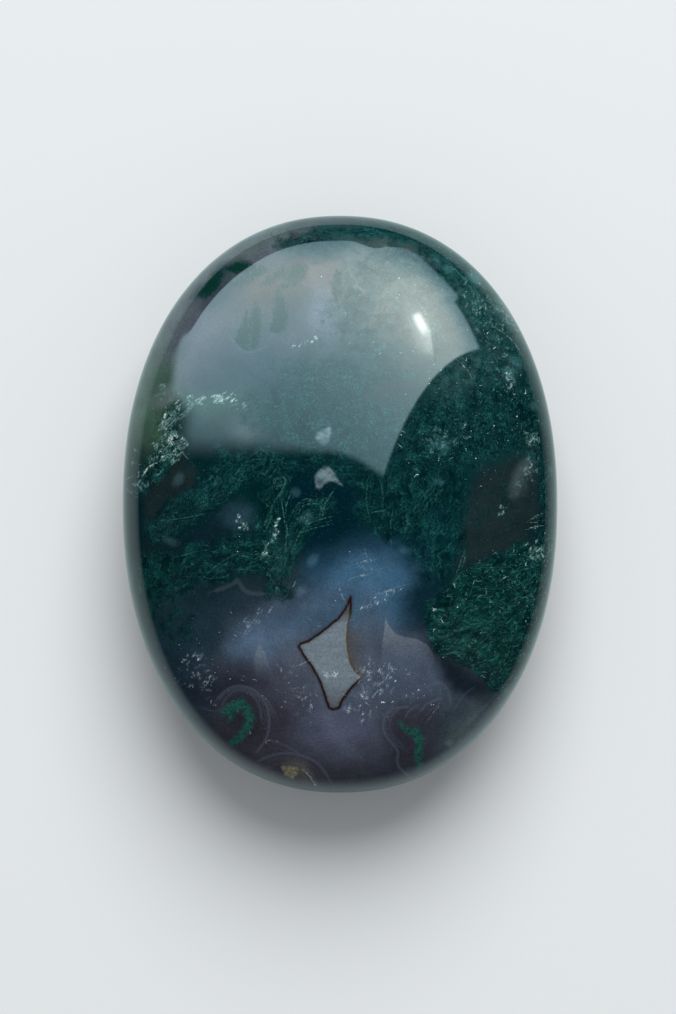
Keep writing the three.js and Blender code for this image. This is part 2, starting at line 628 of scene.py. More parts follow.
# Threads of moss that are drawn one by one
TUFTS = (
    # The bright tuft in the middle
    Bundle(((-5.8, -8.7), (-7.7, -5), (-7.7, -1.1), (-6.2, 2.5)), (1.4, 1), 26, (0.1, 0.4), (0.1, 0.4)),
    Bundle(((-6.2, -8.5), (-5.7, -5.4), (-5.6, -2.7), (-5.2, 1.1)), (0.9, 0.6), 14, (0.15, 0.4),
           (0.15, 0.5)),
    Bundle(((-5.8, -7.5), (-4.7, -4.2), (-3.3, -1.6), (-0.6, 0.4)), (0.8, 1.2), 26, (0.1, 0.4),
           (0.15, 0.5)),
    # The two arms that reach to the left
    Bundle(((-18.9, -2.7), (-16.4, -1.2), (-13.3, 1.1), (-10.6, 3.1), (-7.1, 4.8)), (1.2, 1.5), 90,
           (0.05, 0.2), (0.05, 0.32)),
    Bundle(((-19.8, -7.7), (-15, -6.8), (-11.2, -5.4), (-6.7, -4.8)), (1.9, 1.9), 70, (0.05, 0.2),
           (0.05, 0.25)),
    Bundle(((-11.2, 4.6), (-4.2, 4), (1.2, 3.4), (7.3, 2.9)), (1.2, 1.7), 90, (0.03, 0.12), (0.1, 0.38)),
    # Upright threads right of the middle
    Scatter(CENTRE_MOSS, 240, (0.6, 2.2), (0.06, 0.32), 76, 26, 14),
    Bundle(((7.1, -1.1), (8.4, 1.1), (9.8, 2.5)), (0.4, 0.6), 7, (0.4, 0.9), (0.25, 0.5)),
    # The lacy upper right, seen through the light on the polish and beside it
    Scatter(CROWN_MOSS, 900, (0.2, 1.0), (0.06, 0.42), 60, 180, 80),
    Scatter(Pool(4, (1.2, 8.2), (9.4, 4.4)), 320, (0.2, 1.0), (0.1, 0.45), 40, 180, 70),
    Scatter(Pool(5, (6.8, 19.2), (6.5, 6.5)), 420, (0.2, 0.9), (0.1, 0.45), 40, 180, 70),
    # The fern-green patch at the lower right
    Scatter(FERN_PATCH, 500, (0.4, 1.4), (0.08, 0.42), 14, 30, 40),
    Scatter(Pool(2, (14.4, -11.8), (4, 2.7), 20), 160, (0.4, 1.4), (0.1, 0.5), 20, 180, 90),
    Scatter(Stroke(2, ((21.3, 5.6), (21.7, -1.6), (21.3, -8.9)), (0.8, 1)), 120, (0.2, 1.0), (0.1, 0.5),
            60, 60, 40),
)

# Pale threads that are drawn one by one
FROSTING = (
    # The pale dendrite at the left
    Scatter(Stroke(0.6, ((-16.9, 10.4), (-14.8, 10.7), (-13.3, 10.8)), (0.3, 0.3)), 24, (0.1, 0.5),
            (0.2, 1.4)),
    Scatter(Stroke(0.5, ((-12.9, 10.7), (-11.9, 10.9), (-11.1, 10.7)), (0.4, 0.4)), 15, (0.1, 0.4),
            (0.4, 1.9)),
    Scatter(Stroke(0.6, ((-11.1, 10.5), (-9.8, 9.7)), (0.3, 0.3)), 10, (0.1, 0.4), (0.2, 0.9)),
    Bundle(((-16.3, 10.3), (-17.5, 9), (-18.5, 7.5)), (0.3, 0.4), 14, (0.2, 0.6), (0.1, 0.6)),
    Bundle(((-14.8, 10.4), (-16, 9.4), (-17.7, 7.7)), (0.2, 0.3), 8, (0.2, 0.5), (0.1, 0.5)),
    Scatter(Pool(1.4, (-17.3, 6.1), (1.6, 1.7)), 70, (0.15, 0.8), (0.1, 0.8)),
    Scatter(Pool(1.4, (-17.5, 6.7), (1.2, 1.2)), 6, (0.1, 0.3), (0.9, 1.7)),
    Scatter(Stroke(1.2, ((-17.9, 4.8), (-19.8, 3.4), (-20.8, 1.3)), (1.1, 0.6)), 44, (0.15, 0.7),
            (0.1, 0.7)),
    Scatter(Pool(1.1, (-18.4, 11.7), (0.9, 1)), 10, (0.1, 0.3), (0.15, 0.9)),
    # The fine chains in the middle
    Scatter(Stroke(0.3, ((-7.9, -5.4), (-7, -3.8), (-6, -1.7)), (0.1, 0.3)), 24, (0.05, 0.2), (0.3, 1.2)),
    Scatter(Pool(0.5, (-9.8, -1.7), (0.6, 0.8)), 11, (0.05, 0.2), (0.2, 1.1)),
    # The right edge
    Scatter(Pool(1.0, (20, -4.7), (0.8, 0.9)), 14, (0.1, 0.4), (0.2, 1.3)),
    Scatter(Pool(1.3, (19.7, 6.7), (0.8, 1.9), 24), 12, (0.2, 0.8), (0.05, 0.35)),
    Bundle(((18.4, 7.9), (19.5, 7), (20.4, 6.3)), (0.3, 0.5), 6, (0.3, 0.6), (0.1, 0.45)),
    Bundle(((19.1, 6.1), (19.9, 6.7), (20.5, 6.9)), (0.2, 0.3), 3, (0.4, 0.8), (0.3, 0.7)),
    Scatter(Stroke(0.4, ((17.3, 13.5), (17.5, 12.8), (17.6, 11.9)), (0.2, 0.3)), 9, (0.1, 0.3), (0.3, 1.2)),
    Scatter(Stroke(0.4, ((-5.3, 16.3), (-3.9, 16.3), (-2.4, 16.9)), (0.3, 0.3)), 11, (0.05, 0.15),
            (0.4, 1.3)),
    Scatter(Stroke(0.9, ((19.7, 5), (19, 3.6), (18.4, 2.1)), (0.3, 0.5)), 18, (0.1, 0.4), (0.1, 0.75)),
    Scatter(Pool(0.8, (16.6, -0.4), (0.4, 0.5)), 6, (0.1, 0.3), (0.15, 0.8)),
    Scatter(Pool(2.0, (10.1, 6.3), (2.3, 1.5)), 26, (0.1, 0.5), (0.08, 0.6)),
    Scatter(Stroke(1.5, ((13.3, 22.1), (14.8, 19.4), (16.6, 16), (17.5, 12.5)), (1.5, 1)), 56, (0.12, 0.6),
            (0.1, 0.55)),
    # The scratched groups of the lower end
    Scatter(Pool(1.6, (-14.8, -17.5), (1.4, 2.1), 20), 38, (0.1, 0.6), (0.05, 0.6), 50, 60),
    Scatter(Stroke(0.8, ((-10.8, -12.9), (-9.2, -12.1), (-7.7, -10.8)), (0.6, 0.5)), 12, (0.2, 0.6),
            (0.1, 0.7), 55, 20),
    Scatter(Pool(1.0, (-3.9, -19.5), (0.8, 1.7), 15), 13, (0.1, 0.4), (0.2, 0.8), 40),
    Scatter(Pool(1.2, (3.7, -17), (1.9, 0.9), 5), 26, (0.1, 0.5), (0.2, 1.1), 20),
    Scatter(Pool(1.2, (3.5, -18.9), (2.3, 0.8), 12), 32, (0.1, 0.6), (0.15, 0.9), 20),
    Scatter(Stroke(0.6, ((0.6, -20.7), (1.9, -21.1), (2.9, -21.8)), (0.3, 0.3)), 12, (0.1, 0.4),
            (0.3, 1.3)),
    Scatter(Stroke(0.6, ((2.4, -10.4), (4, -9.8), (5.4, -8.9)), (0.3, 0.3)), 12, (0.1, 0.4), (0.2, 1.0),
            30, 60),
    Scatter(Pool(0.6, (-1.1, -17.1), (0.8, 0.4), -15), 12, (0.1, 0.4), (0.3, 1.5), -20, 60),
    Scatter(Pool(1.2, (-5.5, -17), (0.8, 0.8)), 8, (0.1, 0.4), (0.1, 0.6)),
)

# Single lines of moss and frost, and the thin walls of the lower end
LINES = (
    Lines(Thread.MOSS, 0.39, 0.055, (
        ((-5.9, 0.1), (-5.4, -3.2), (-5.6, -6.1)), ((-5, 1.1), (-5.5, -0.1), (-5.5, -1.6), (-5.3, -3.1)),
        ((-4.2, -1), (-3.9, -0.2), (-3, 0.1), (-2, 0), (-1.4, -0.5), (-1.8, -1.2)),
        ((-4.4, -3.7), (-3.9, -2.5), (-2.7, -1.7), (-1, -1.3)), ((-0.7, 1.3), (-1.9, -0.4), (-2.1, -1.2)),
        ((11.8, -7.2), (12.6, -4.9)),
    )),
    Lines(Thread.MOSS, 0.28, 0.055, (
        ((-4.8, -0.8), (-4.1, 0.3), (-3.3, 0.6), (-2.8, 0.3)),
        ((-4.8, -4.6), (-4.2, -3.2), (-3.4, -2.6), (-1.2, -2.1)),
        ((-2.4, 0.7), (-2.2, -0.2), (-1.5, -0.8)),
        ((-6.9, 1.8), (-6.3, 2.7), (-5.6, 2.8), (-5.4, 2.1), (-6.6, 0.4), (-7.1, -0.8)),
        ((-7.5, 0), (-6.8, -0.6), (-7, -1.6), (-7.6, -2.7)), ((-6.2, 1.9), (-5.7, 1.4), (-6.2, 0.6)),
        ((-10.1, -5.4), (-8.9, -5), (-6.3, -5.4)), ((-9.1, -6), (-6.9, -5.2), (-5.8, -4.3)),
        ((-18.4, -1.7), (-17.1, -1.6), (-13.8, -1)), ((-14.7, 0), (-13.3, 0.4), (-12.1, 0.9)),
        ((-10.7, 2.8), (-10.1, 3.9), (-9.2, 4.5), (-8.1, 4.6)), ((2.7, -1.3), (3.2, -0.8), (4.4, -0.7)),
        ((6.1, -1.2), (6.6, -1.6), (7.1, -2.1)), ((6.6, -1.6), (6.8, -1)),
        ((12.4, -6.4), (12.8, -5.7), (12.6, -5)),
    )),
    Lines(Thread.MOSS, 0.2, 0.055, (
        ((-8.1, -3.3), (-7.5, -4.3), (-7.3, -5.6)), ((-10.4, 2.3), (-9.7, 3.5), (-8.6, 4.1)),
        ((-13.9, -7.5), (-12.5, -6.1), (-10.8, -5.1), (-9.8, -5)),
        ((-16.6, -5.4), (-15, -4.9), (-13.1, -4.6)), ((4.1, 2.3), (4.4, 1.1), (4.3, -0.8)),
        ((5.4, -0.4), (5.1, -1.9), (5.2, -4)), ((2.8, 2.1), (2.6, 0.4), (2.9, -1.2)),
        ((7.4, -0.8), (8.4, 0.9), (9.8, 2.3)), ((8.1, -1.2), (9.1, 0.4), (10.4, 1.5)),
    )),
    Lines(Thread.FROST, 0.5, 0.055, (
        ((12.5, 14.2), (12.8, 13.9)), ((13, 13.7), (13.2, 13.4)),
        ((-3.9, -27.3), (-3.2, -27.9), (-2.6, -29)),
    )),
    Lines(Thread.FROST, 0.38, 0.055, (
        ((-0.1, -8.2), (0, -8.9), (0.5, -9.9)), ((-7.8, -24.4), (-7.2, -24.2), (-6.3, -24.3)),
        ((-4.2, -16.4), (-3.4, -16)),
    )),
    Lines(Thread.FROST, 0.26, 0.055, (
        ((-16, 10.4), (-16.8, 9.8), (-18, 8.2), (-18.7, 7.5)), ((-14.5, 10.6), (-17.4, 8.2), (-17.9, 7.6)),
        ((-18.4, 6.9), (-17, 6.3), (-15.9, 6.7)), ((-17.1, 6.3), (-16.4, 5.6), (-15.6, 4.7)),
        ((16.2, 18), (17.3, 17.3), (18, 16.6), (18.6, 15.7)), ((2.6, -4.9), (2.8, -5.7)),
        ((2.5, -10.4), (3, -10.2), (3.1, -9.8)), ((5.4, -9.1), (5.8, -8.4), (6.5, -8.2)),
        ((-9.3, -12.5), (-8.7, -11.7)), ((-9.7, -13.1), (-9.2, -12.3)),
        ((9.1, -22), (9.6, -21.2), (10.1, -20.7)),
    )),
    Lines(Thread.FROST, 0.85, 0.11, (
        ((-18.2, 8.3), (-18, 8.8), (-17.9, 9.3)), ((-20.1, 3.2), (-19.8, 3.7), (-19.1, 4.1)),
    )),
    Lines(Thread.FROST, 0.5, 0.11, (
        ((19.9, -2.4), (20.3, -2.3)), ((1.8, -7.4), (2.4, -7.2)),
    )),
    Lines(Thread.FROST, 0.38, 0.11, (
        ((19.9, -1.4), (20.3, -1.2)), ((2.6, -5.8), (3, -5.7)), ((4.6, -8.9), (5.1, -8.7)),
        ((-1.6, -17.1), (-1.1, -17.4), (-0.6, -17.5)),
    )),
    Lines(Thread.WALL, 0.3, 0.09, (
        ((-12.5, -19.9), (-11.6, -18.9), (-10.4, -18.5), (-8.9, -18.8), (-7.8, -19.9), (-7.3, -21.1),
         (-7.2, -22.7), (-7.6, -24.2), (-8.5, -25.4)),
        ((-8.3, -26.4), (-7.1, -25.8), (-5.5, -25.5), (-4.1, -25.7), (-2.7, -26.3), (-1.7, -27.2),
         (-1, -28.6)),
        ((6.8, -20.7), (5.4, -20.8), (4.7, -21.4), (4.3, -22.6), (4.7, -23.8), (6.1, -25.4), (5.8, -26.3),
         (6.1, -27.2), (7, -28)), ((8.3, -21.1), (8.8, -20.4), (10.1, -19.9)),
    )),
    Lines(Thread.WALL, 0.2, 0.09, (
        ((-10.8, 16.6), (-10.2, 15.7), (-9.2, 15.4), (-8.1, 15.8)),
        ((-12.1, -20.5), (-11.3, -19.3), (-10.2, -18.9), (-8.9, -19.4), (-8.2, -20.6), (-8, -22)),
        ((-8.5, -19.3), (-7.4, -20), (-6.7, -21.3)), ((-7.1, -24.2), (-5.6, -24.7), (-4.3, -25.5)),
        ((6.7, -21.7), (7.1, -21), (7.8, -20.6)),
        ((8.8, -18.7), (10, -18.1), (10.9, -18.6), (11.3, -20.2)),
    )),
    Lines(Thread.WALL, 0.14, 0.09, (
        ((-14, -21), (-12.9, -21.3), (-11.8, -20.9)),
        ((-7.4, -27.1), (-5.7, -26.5), (-4.2, -26.7), (-3, -27.5), (-2.4, -28.6)),
        ((5.9, -21.1), (5.2, -21.6), (5, -22.7), (5.4, -23.7), (6.3, -24.6)),
        ((11.7, -21), (12.6, -19.6), (13.5, -18.9)), ((13.1, -22.5), (15.4, -20.4), (17.5, -17.9)),
        ((14.4, -23.3), (17.9, -19.3)),
    )),
    Lines(Thread.WALL, 0.2, 0.14, (
        ((-12.6, -8.8), (-10.8, -8.1), (-10.4, -7.6), (-9.9, -8.7), (-9.1, -9.1), (-8, -9.1)),
        ((4.6, 26.5), (6.5, 26), (8.5, 25.3)),
    )),
)

# What is sprinkled over the moss, by kind: where it lies, and how much of it
SPRINKLES = {
    Grit.LACE: (
        (Stroke(1.6, ((-21.6, 5.1), (-21.4, 2.5), (-20.6, 1)), (0.6, 0.6)), 0.35),
        (Pool(1.4, (17.3, 19.2), (0.7, 2.3), 38), 0.7), (Pool(1.2, (17.3, 13), (0.6, 1.2), 20), 0.55),
        (Pool(1.2, (13.9, 20.9), (0.7, 1), 20), 0.5), (Pool(2.0, (19.1, 3.1), (0.9, 2.1), -12), 0.45),
        (Pool(1.5, (10, 6.1), (1.7, 1), 10), 0.3), (Pool(1.4, (20.3, -4.6), (1.5, 0.8)), 0.5),
        (Pool(1.5, (19.7, -5), (0.7, 0.9)), 0.6),
    ),
    Grit.SPECKS: (
        (CROWN_MOSS, 0.22), (Stroke(2, ((11.7, 25.2), (13.9, 22.3), (15.6, 18.6)), (1.2, 1.2)), 0.7),
        (Stroke(2, ((13.7, 21.7), (15.8, 16.6), (17.6, 12.1), (17.9, 7.7)), (1.2, 1)), 0.5),
        (FERN_PATCH, 0.14),
        (Stroke(2, ((21.4, 0.4), (21.3, -5.8), (19.8, -14.1), (17.2, -19.3)), (1, 1)), 0.5),
        (Pool(2, (16.4, -0.6), (0.8, 0.9)), 0.6), (Pool(1.2, (-9.8, -1.9), (1, 1.4), 20), 0.8),
        (Pool(2.5, (-10.1, -4), (2.7, 1.5)), 0.3),
        (Stroke(1.0, ((-17, 10.3), (-14.6, 10.9), (-11.9, 11.1), (-10.1, 9.9)), (0.4, 0.5)), 0.9),
        (Stroke(1.6, ((-16.2, 10.4), (-18.1, 7.9), (-17.9, 5.1), (-19.6, 2.5)), (0.5, 1)), 0.7),
        (Stroke(0.9, ((-5.6, 16.3), (-4, 16.4), (-2.2, 17.1)), (0.3, 0.3)), 0.9),
        (Pool(2, (-17.7, 15.9), (0.7, 1)), 0.6), (Pool(6, (6.2, 19.2), (6.9, 5.8)), 0.3),
        (Stroke(1, ((14.4, 1.9), (15.8, 4.4), (16.6, 3.7)), (0.4, 0.4)), 0.6),
        (Pool(2, (-14.7, -17.9), (2, 3.1), 20), 0.45), (Pool(3, (-13.1, -14.1), (2.1, 2.7), -10), 0.35),
        (Pool(2, (-16.9, -19.3), (0.9, 2.3), 25), 0.6), (Pool(2, (-4.2, -19.8), (1.1, 1.9), 15), 0.5),
        (Pool(6, (-6.8, -20.4), (5.8, 4.6)), 0.16), (Pool(3, (5.2, -19.3), (5, 2.3)), 0.35),
        (Stroke(1, ((0.8, -20.8), (2.1, -21.2), (2.9, -21.8)), (0.3, 0.3)), 0.6),
        (Stroke(1, ((1.6, -16.9), (2.9, -16.5), (4.2, -16.3)), (0.3, 0.3)), 0.9),
        (Pool(1.5, (10, -15.8), (0.7, 1.1)), 0.8),
        (Stroke(0.8, ((2.1, -10.6), (4.2, -9.7), (6.2, -8.3)), (0.4, 0.5)), 1.0),
        (Pool(5, (2.1, -6.8), (4.8, 3.3)), 0.1), (Pool(1.5, (-0.8, -17.5), (1.4, 0.7)), 0.7),
        (Pool(1.5, (1, -19.3), (0.9, 0.7), 25), 0.7), (Pool(1.5, (-17.2, -3.9), (0.8, 0.5), -20), 0.8),
    ),
    Grit.SCRATCHES: (
        (Pool(2, (-14.7, -17.5), (2.3, 3.1), 20), 0.6),
        (Stroke(1.2, ((-10.6, -13.1), (-8.9, -12.1), (-7.3, -10.4)), (0.7, 0.5)), 0.7),
        (Pool(2, (-10.4, -17.5), (2.3, 1.2)), 0.35), (Pool(2, (-4.3, -19.3), (1.5, 2.5), 15), 0.5),
        (Pool(3, (5, -19.1), (4.8, 2.5)), 0.6),
        (Stroke(1.2, ((2.1, -10.6), (4.4, -9.8), (6.9, -7.9)), (0.5, 0.7)), 0.5),
        (Pool(5, (-1, -15.2), (12.5, 9.4)), 0.07), (CROWN_MOSS, 0.2), (FERN_PATCH, 0.25),
        (Stroke(2, ((13.7, 21.7), (15.8, 16.6), (17.6, 12.1)), (1.2, 0.8)), 0.45),
        (Pool(6, (5.7, 18.6), (6.9, 5.4)), 0.15),
    ),
    Grit.GREEN: (
        (FERN_PATCH, 1.0), (Pool(4, (-18.7, 7.7), (3.1, 6.2), -8), 0.9),
        (Pool(4, (-18.2, -8.9), (4.2, 4.2)), 0.8),
    ),
    # Painted light: where a pale glow is laid in front of the moss, and how strong it is
    Grit.HAZE: (
        (Pool(3.5, (12.7, 13.8), (3.5, 1.9), 35), 0.8),
        (Stroke(3, ((13.7, 22.1), (15.6, 17.6), (17.2, 13.8)), (1.2, 1.2)), 0.45),
        (Pool(2.4, (17.4, 19), (0.8, 2.5), 38), 0.9), (Pool(2, (-5.7, -5.8), (1.4, 2.5), 12), 0.25),
        (Stroke(2, ((-18.7, -2.7), (-15, -0.4), (-11.9, 1.9)), (0.8, 0.8)), 0.12),
    ),
    Grit.DARK: (
        (Pool(2.2, (19.8, 7.5), (1.5, 2.5), 24), 0.8),
        (Stroke(1.2, ((16.6, 12.5), (17.9, 10.8), (19.6, 8.3), (19.8, 7.1)), (0.7, 1.1)), 1.0),
        (Stroke(0.8, ((15.9, 16), (17.3, 15), (18.5, 13.3), (19.5, 11.3)), (0.3, 0.4)), 0.9),
    ),
}

# The dark plumes of the upper end
DARK_PLUMES = (
    Patch(1.0, ((-9.6, 19.8), (-9.2, 18.1), (-9.3, 15.8), (-10, 15.8), (-10.7, 16.5), (-10.4, 17.7),
                (-9.9, 18.5))),
    Patch(1.0, ((-8.7, 20.6), (-8.2, 19.7), (-8.1, 18.5), (-8.3, 16.7), (-8.6, 15.8), (-9.2, 16),
                (-9.1, 17.6), (-9.2, 19))),
    Patch(1.0, ((-6.3, 22.3), (-6.1, 21.4), (-5.6, 20.6), (-5.4, 19.2), (-5.7, 17.7), (-6.7, 17.5),
                (-7.1, 17.8), (-6.7, 19.4), (-6.6, 20.8))),
    Patch(0.4, ((-6.2, 22.4), (-5.1, 22.5), (-4.9, 22.3), (-5.9, 22.1))),
    Patch(1.2, ((-8.1, 22.5), (-5.8, 24.2), (-5.4, 23.7), (-7.5, 22.3))),
    Patch(1.2, ((-10.9, 22.5), (-9.6, 23.7), (-8.1, 24.4), (-7.7, 23.9), (-10.1, 22.3))),
    Patch(1.4, ((-5.6, 23.1), (-4.6, 24.4), (-3.5, 24.4), (-3.7, 23.1), (-4.6, 22.5))),
    Patch(0.8, ((-0.4, 24), (0.1, 23.7), (0, 21.7), (-0.4, 20.6), (-0.7, 21.7))),
    Patch(0.7, ((-14.6, 21.6), (-13.2, 23.7), (-12.4, 24.3), (-12.1, 23.4), (-12.6, 22.1), (-13.8, 21.2))),
    Patch(0.6, ((-11.9, 24.2), (-10.8, 24.8), (-9.6, 24.9), (-8.7, 24.4), (-9.4, 23.9), (-10.6, 23.7))),
)

# Small bodies in the stone: pale ones, then dim ones
PALE_GRAINS = (
    Patch(0.2, ((-1.5, 3.9), (-0.8, 3.5), (0.3, 1.8), (-0.3, 2.2), (-1, 2.3), (-1.7, 2), (-2.1, 1.4),
                (-2.5, 1.8), (-2.6, 2.7), (-2.2, 3.5))),
    Patch(0.2, ((-2.4, 7.3), (-1, 7.9), (-0.9, 7.3), (-1.1, 6.5), (-1.6, 5.8), (-2.1, 6.1), (-2.5, 6.7))),
)

DIM_GRAINS = (
    Patch(0.2, ((8.7, 5.6), (9.9, 6.8), (10.4, 6.3), (11.9, 6.7), (11, 6), (10.8, 5.1), (10, 5.7))),
    Patch(0.3, ((3, 14.9), (4.5, 16.6), (4.7, 16), (4.2, 15.4))),
    Pool(0.5, (-4.5, 1.2), (0.5, 0.5), 20), Pool(0.6, (-3.4, -1.4), (0.6, 0.7), -40),
    Pool(0.8, (-2.8, -5.7), (0.5, 0.7), -40), Pool(0.8, (-4, -8.8), (0.6, 0.4), 25),
    Pool(0.9, (10, 2.3), (0.5, 0.4)), Pool(0.9, (6.5, -4.7), (0.5, 0.3), -20),
    Pool(0.6, (10, 24.7), (0.4, 0.5), 20), Pool(0.6, (11.2, 24.2), (0.6, 0.5)),
    Pool(0.9, (13.9, 23.3), (0.6, 0.9), 35), Pool(0.5, (17.2, 13.5), (0.6, 0.7), 30),
    Pool(0.3, (19.9, 10.1), (0.4, 0.5), 35), Pool(0.4, (18.1, 14.6), (0.4, 0.8), 50),
    Pool(0.7, (-16.5, 2.5), (0.5, 0.8), -25), Pool(0.6, (17.2, -19.3), (0.3, 0.3)),
    Pool(0.6, (11.2, -24.6), (0.4, 0.3)), Pool(0.8, (-17.3, -3.8), (0.7, 0.4), -20),
)

# The pale quartz window
WINDOW = Patch(0.1, ((1.1, -9.4), (0.52, -10.68), (-0.15, -11.6), (-2.28, -13.3), (-3.25, -13.95),
                     (-4.05, -14.2), (-4.2, -14.45), (-3.6, -15.5), (-2.85, -16.5), (-2.1, -17.85),
                     (-1.65, -19.1), (-1.31, -20.3), (-1.1, -20.8), (-0.63, -20.95), (-0.15, -20.8),
                     (0.3, -19.85), (1.1, -18.75), (1.9, -17.9), (2.05, -17.4), (1.5, -16.95),
                     (1.02, -16.1), (0.78, -14.85), (0.67, -13.7), (0.81, -12.15), (1.05, -11.2)))

# The milky shards beside the window
SHARDS = (
    Patch(0.1, ((4.6, -11.4), (5, -12.4), (5.7, -13.2), (6.6, -13.5), (7.8, -13.7), (8.9, -14.3),
                (9.5, -15.3), (9.7, -16.2), (9.8, -17.4), (8.8, -19.3), (5.7, -19.3), (4.1, -17.8),
                (4.1, -16.2))),
    Patch(0.15, ((-8.2, -14.2), (-7.8, -14.7), (-7.2, -16.3), (-6.6, -17.7), (-7.6, -18.2), (-8.6, -17.6),
                 (-8.8, -16.2), (-8.6, -14.9))),
)

# The green worms of the lower end, and an olive crystal
GREEN_INCLUSIONS = (
    Stroke(0.3, ((-11.8, -21.3), (-10.8, -20.6), (-10.1, -20.3), (-9.5, -20.9), (-9.2, -22), (-9.7, -23.3),
                 (-10.4, -24.1), (-11, -24.6)), (0.45, 0.35)),
    Stroke(0.3, ((-10.6, -20.7), (-11.2, -21.6), (-11.4, -22.2)), (0.4, 0.15)),
    Stroke(0.3, ((6.2, -22.5), (6.9, -23.2), (7.7, -23.3)), (0.2, 0.35)),
    Stroke(0.3, ((7.7, -23.3), (8.2, -24.3), (8, -25.8), (8.2, -27.1)), (0.5, 0.3)),
)

OLIVE_CRYSTAL = Patch(0.3, ((-6.1, -27), (-5.2, -26.9), (-4.3, -27.1), (-4.4, -27.8), (-4.9, -28.3),
                            (-5.6, -28)))

# The colours and the moss of the underside, which no photograph shows
LOWER_WASHES = (
    Wash(Pool(9, (3, 14), (17, 11), 20), Tint.LOW_MILK),
    Wash(Pool(7, (-4, 17), (8, 6), 10), Tint.STEEL),
    Wash(Pool(7, (9, 9), (7, 6), -30), Tint.PLUM),
    Wash(Pool(9, (0, -3), (21, 9), 14), Tint.PINE),
    Wash(Pool(7, (-9, -17), (9, 8), 20), Tint.DEEP_TEAL),
    Wash(Pool(7, (9, -18), (8, 7), -20), Tint.SMOKE),
    Wash(Pool(5, (1, -10), (5, 4)), Tint.BLUE_SLATE),
)

LOWER_GROWTHS = (
    Growth(Stroke(6, ((-20, -6), (-9, 0), (3, 1), (18, 7)), (6, 5)), 0.85, 0.3),
    Growth(Pool(6, (-9, -17), (9, 8), 20), 0.9, 0.4, 50),
    Growth(Stroke(4, ((14, 12), (5, 22), (-6, 26)), (3, 4)), 0.8, 0.3),
)


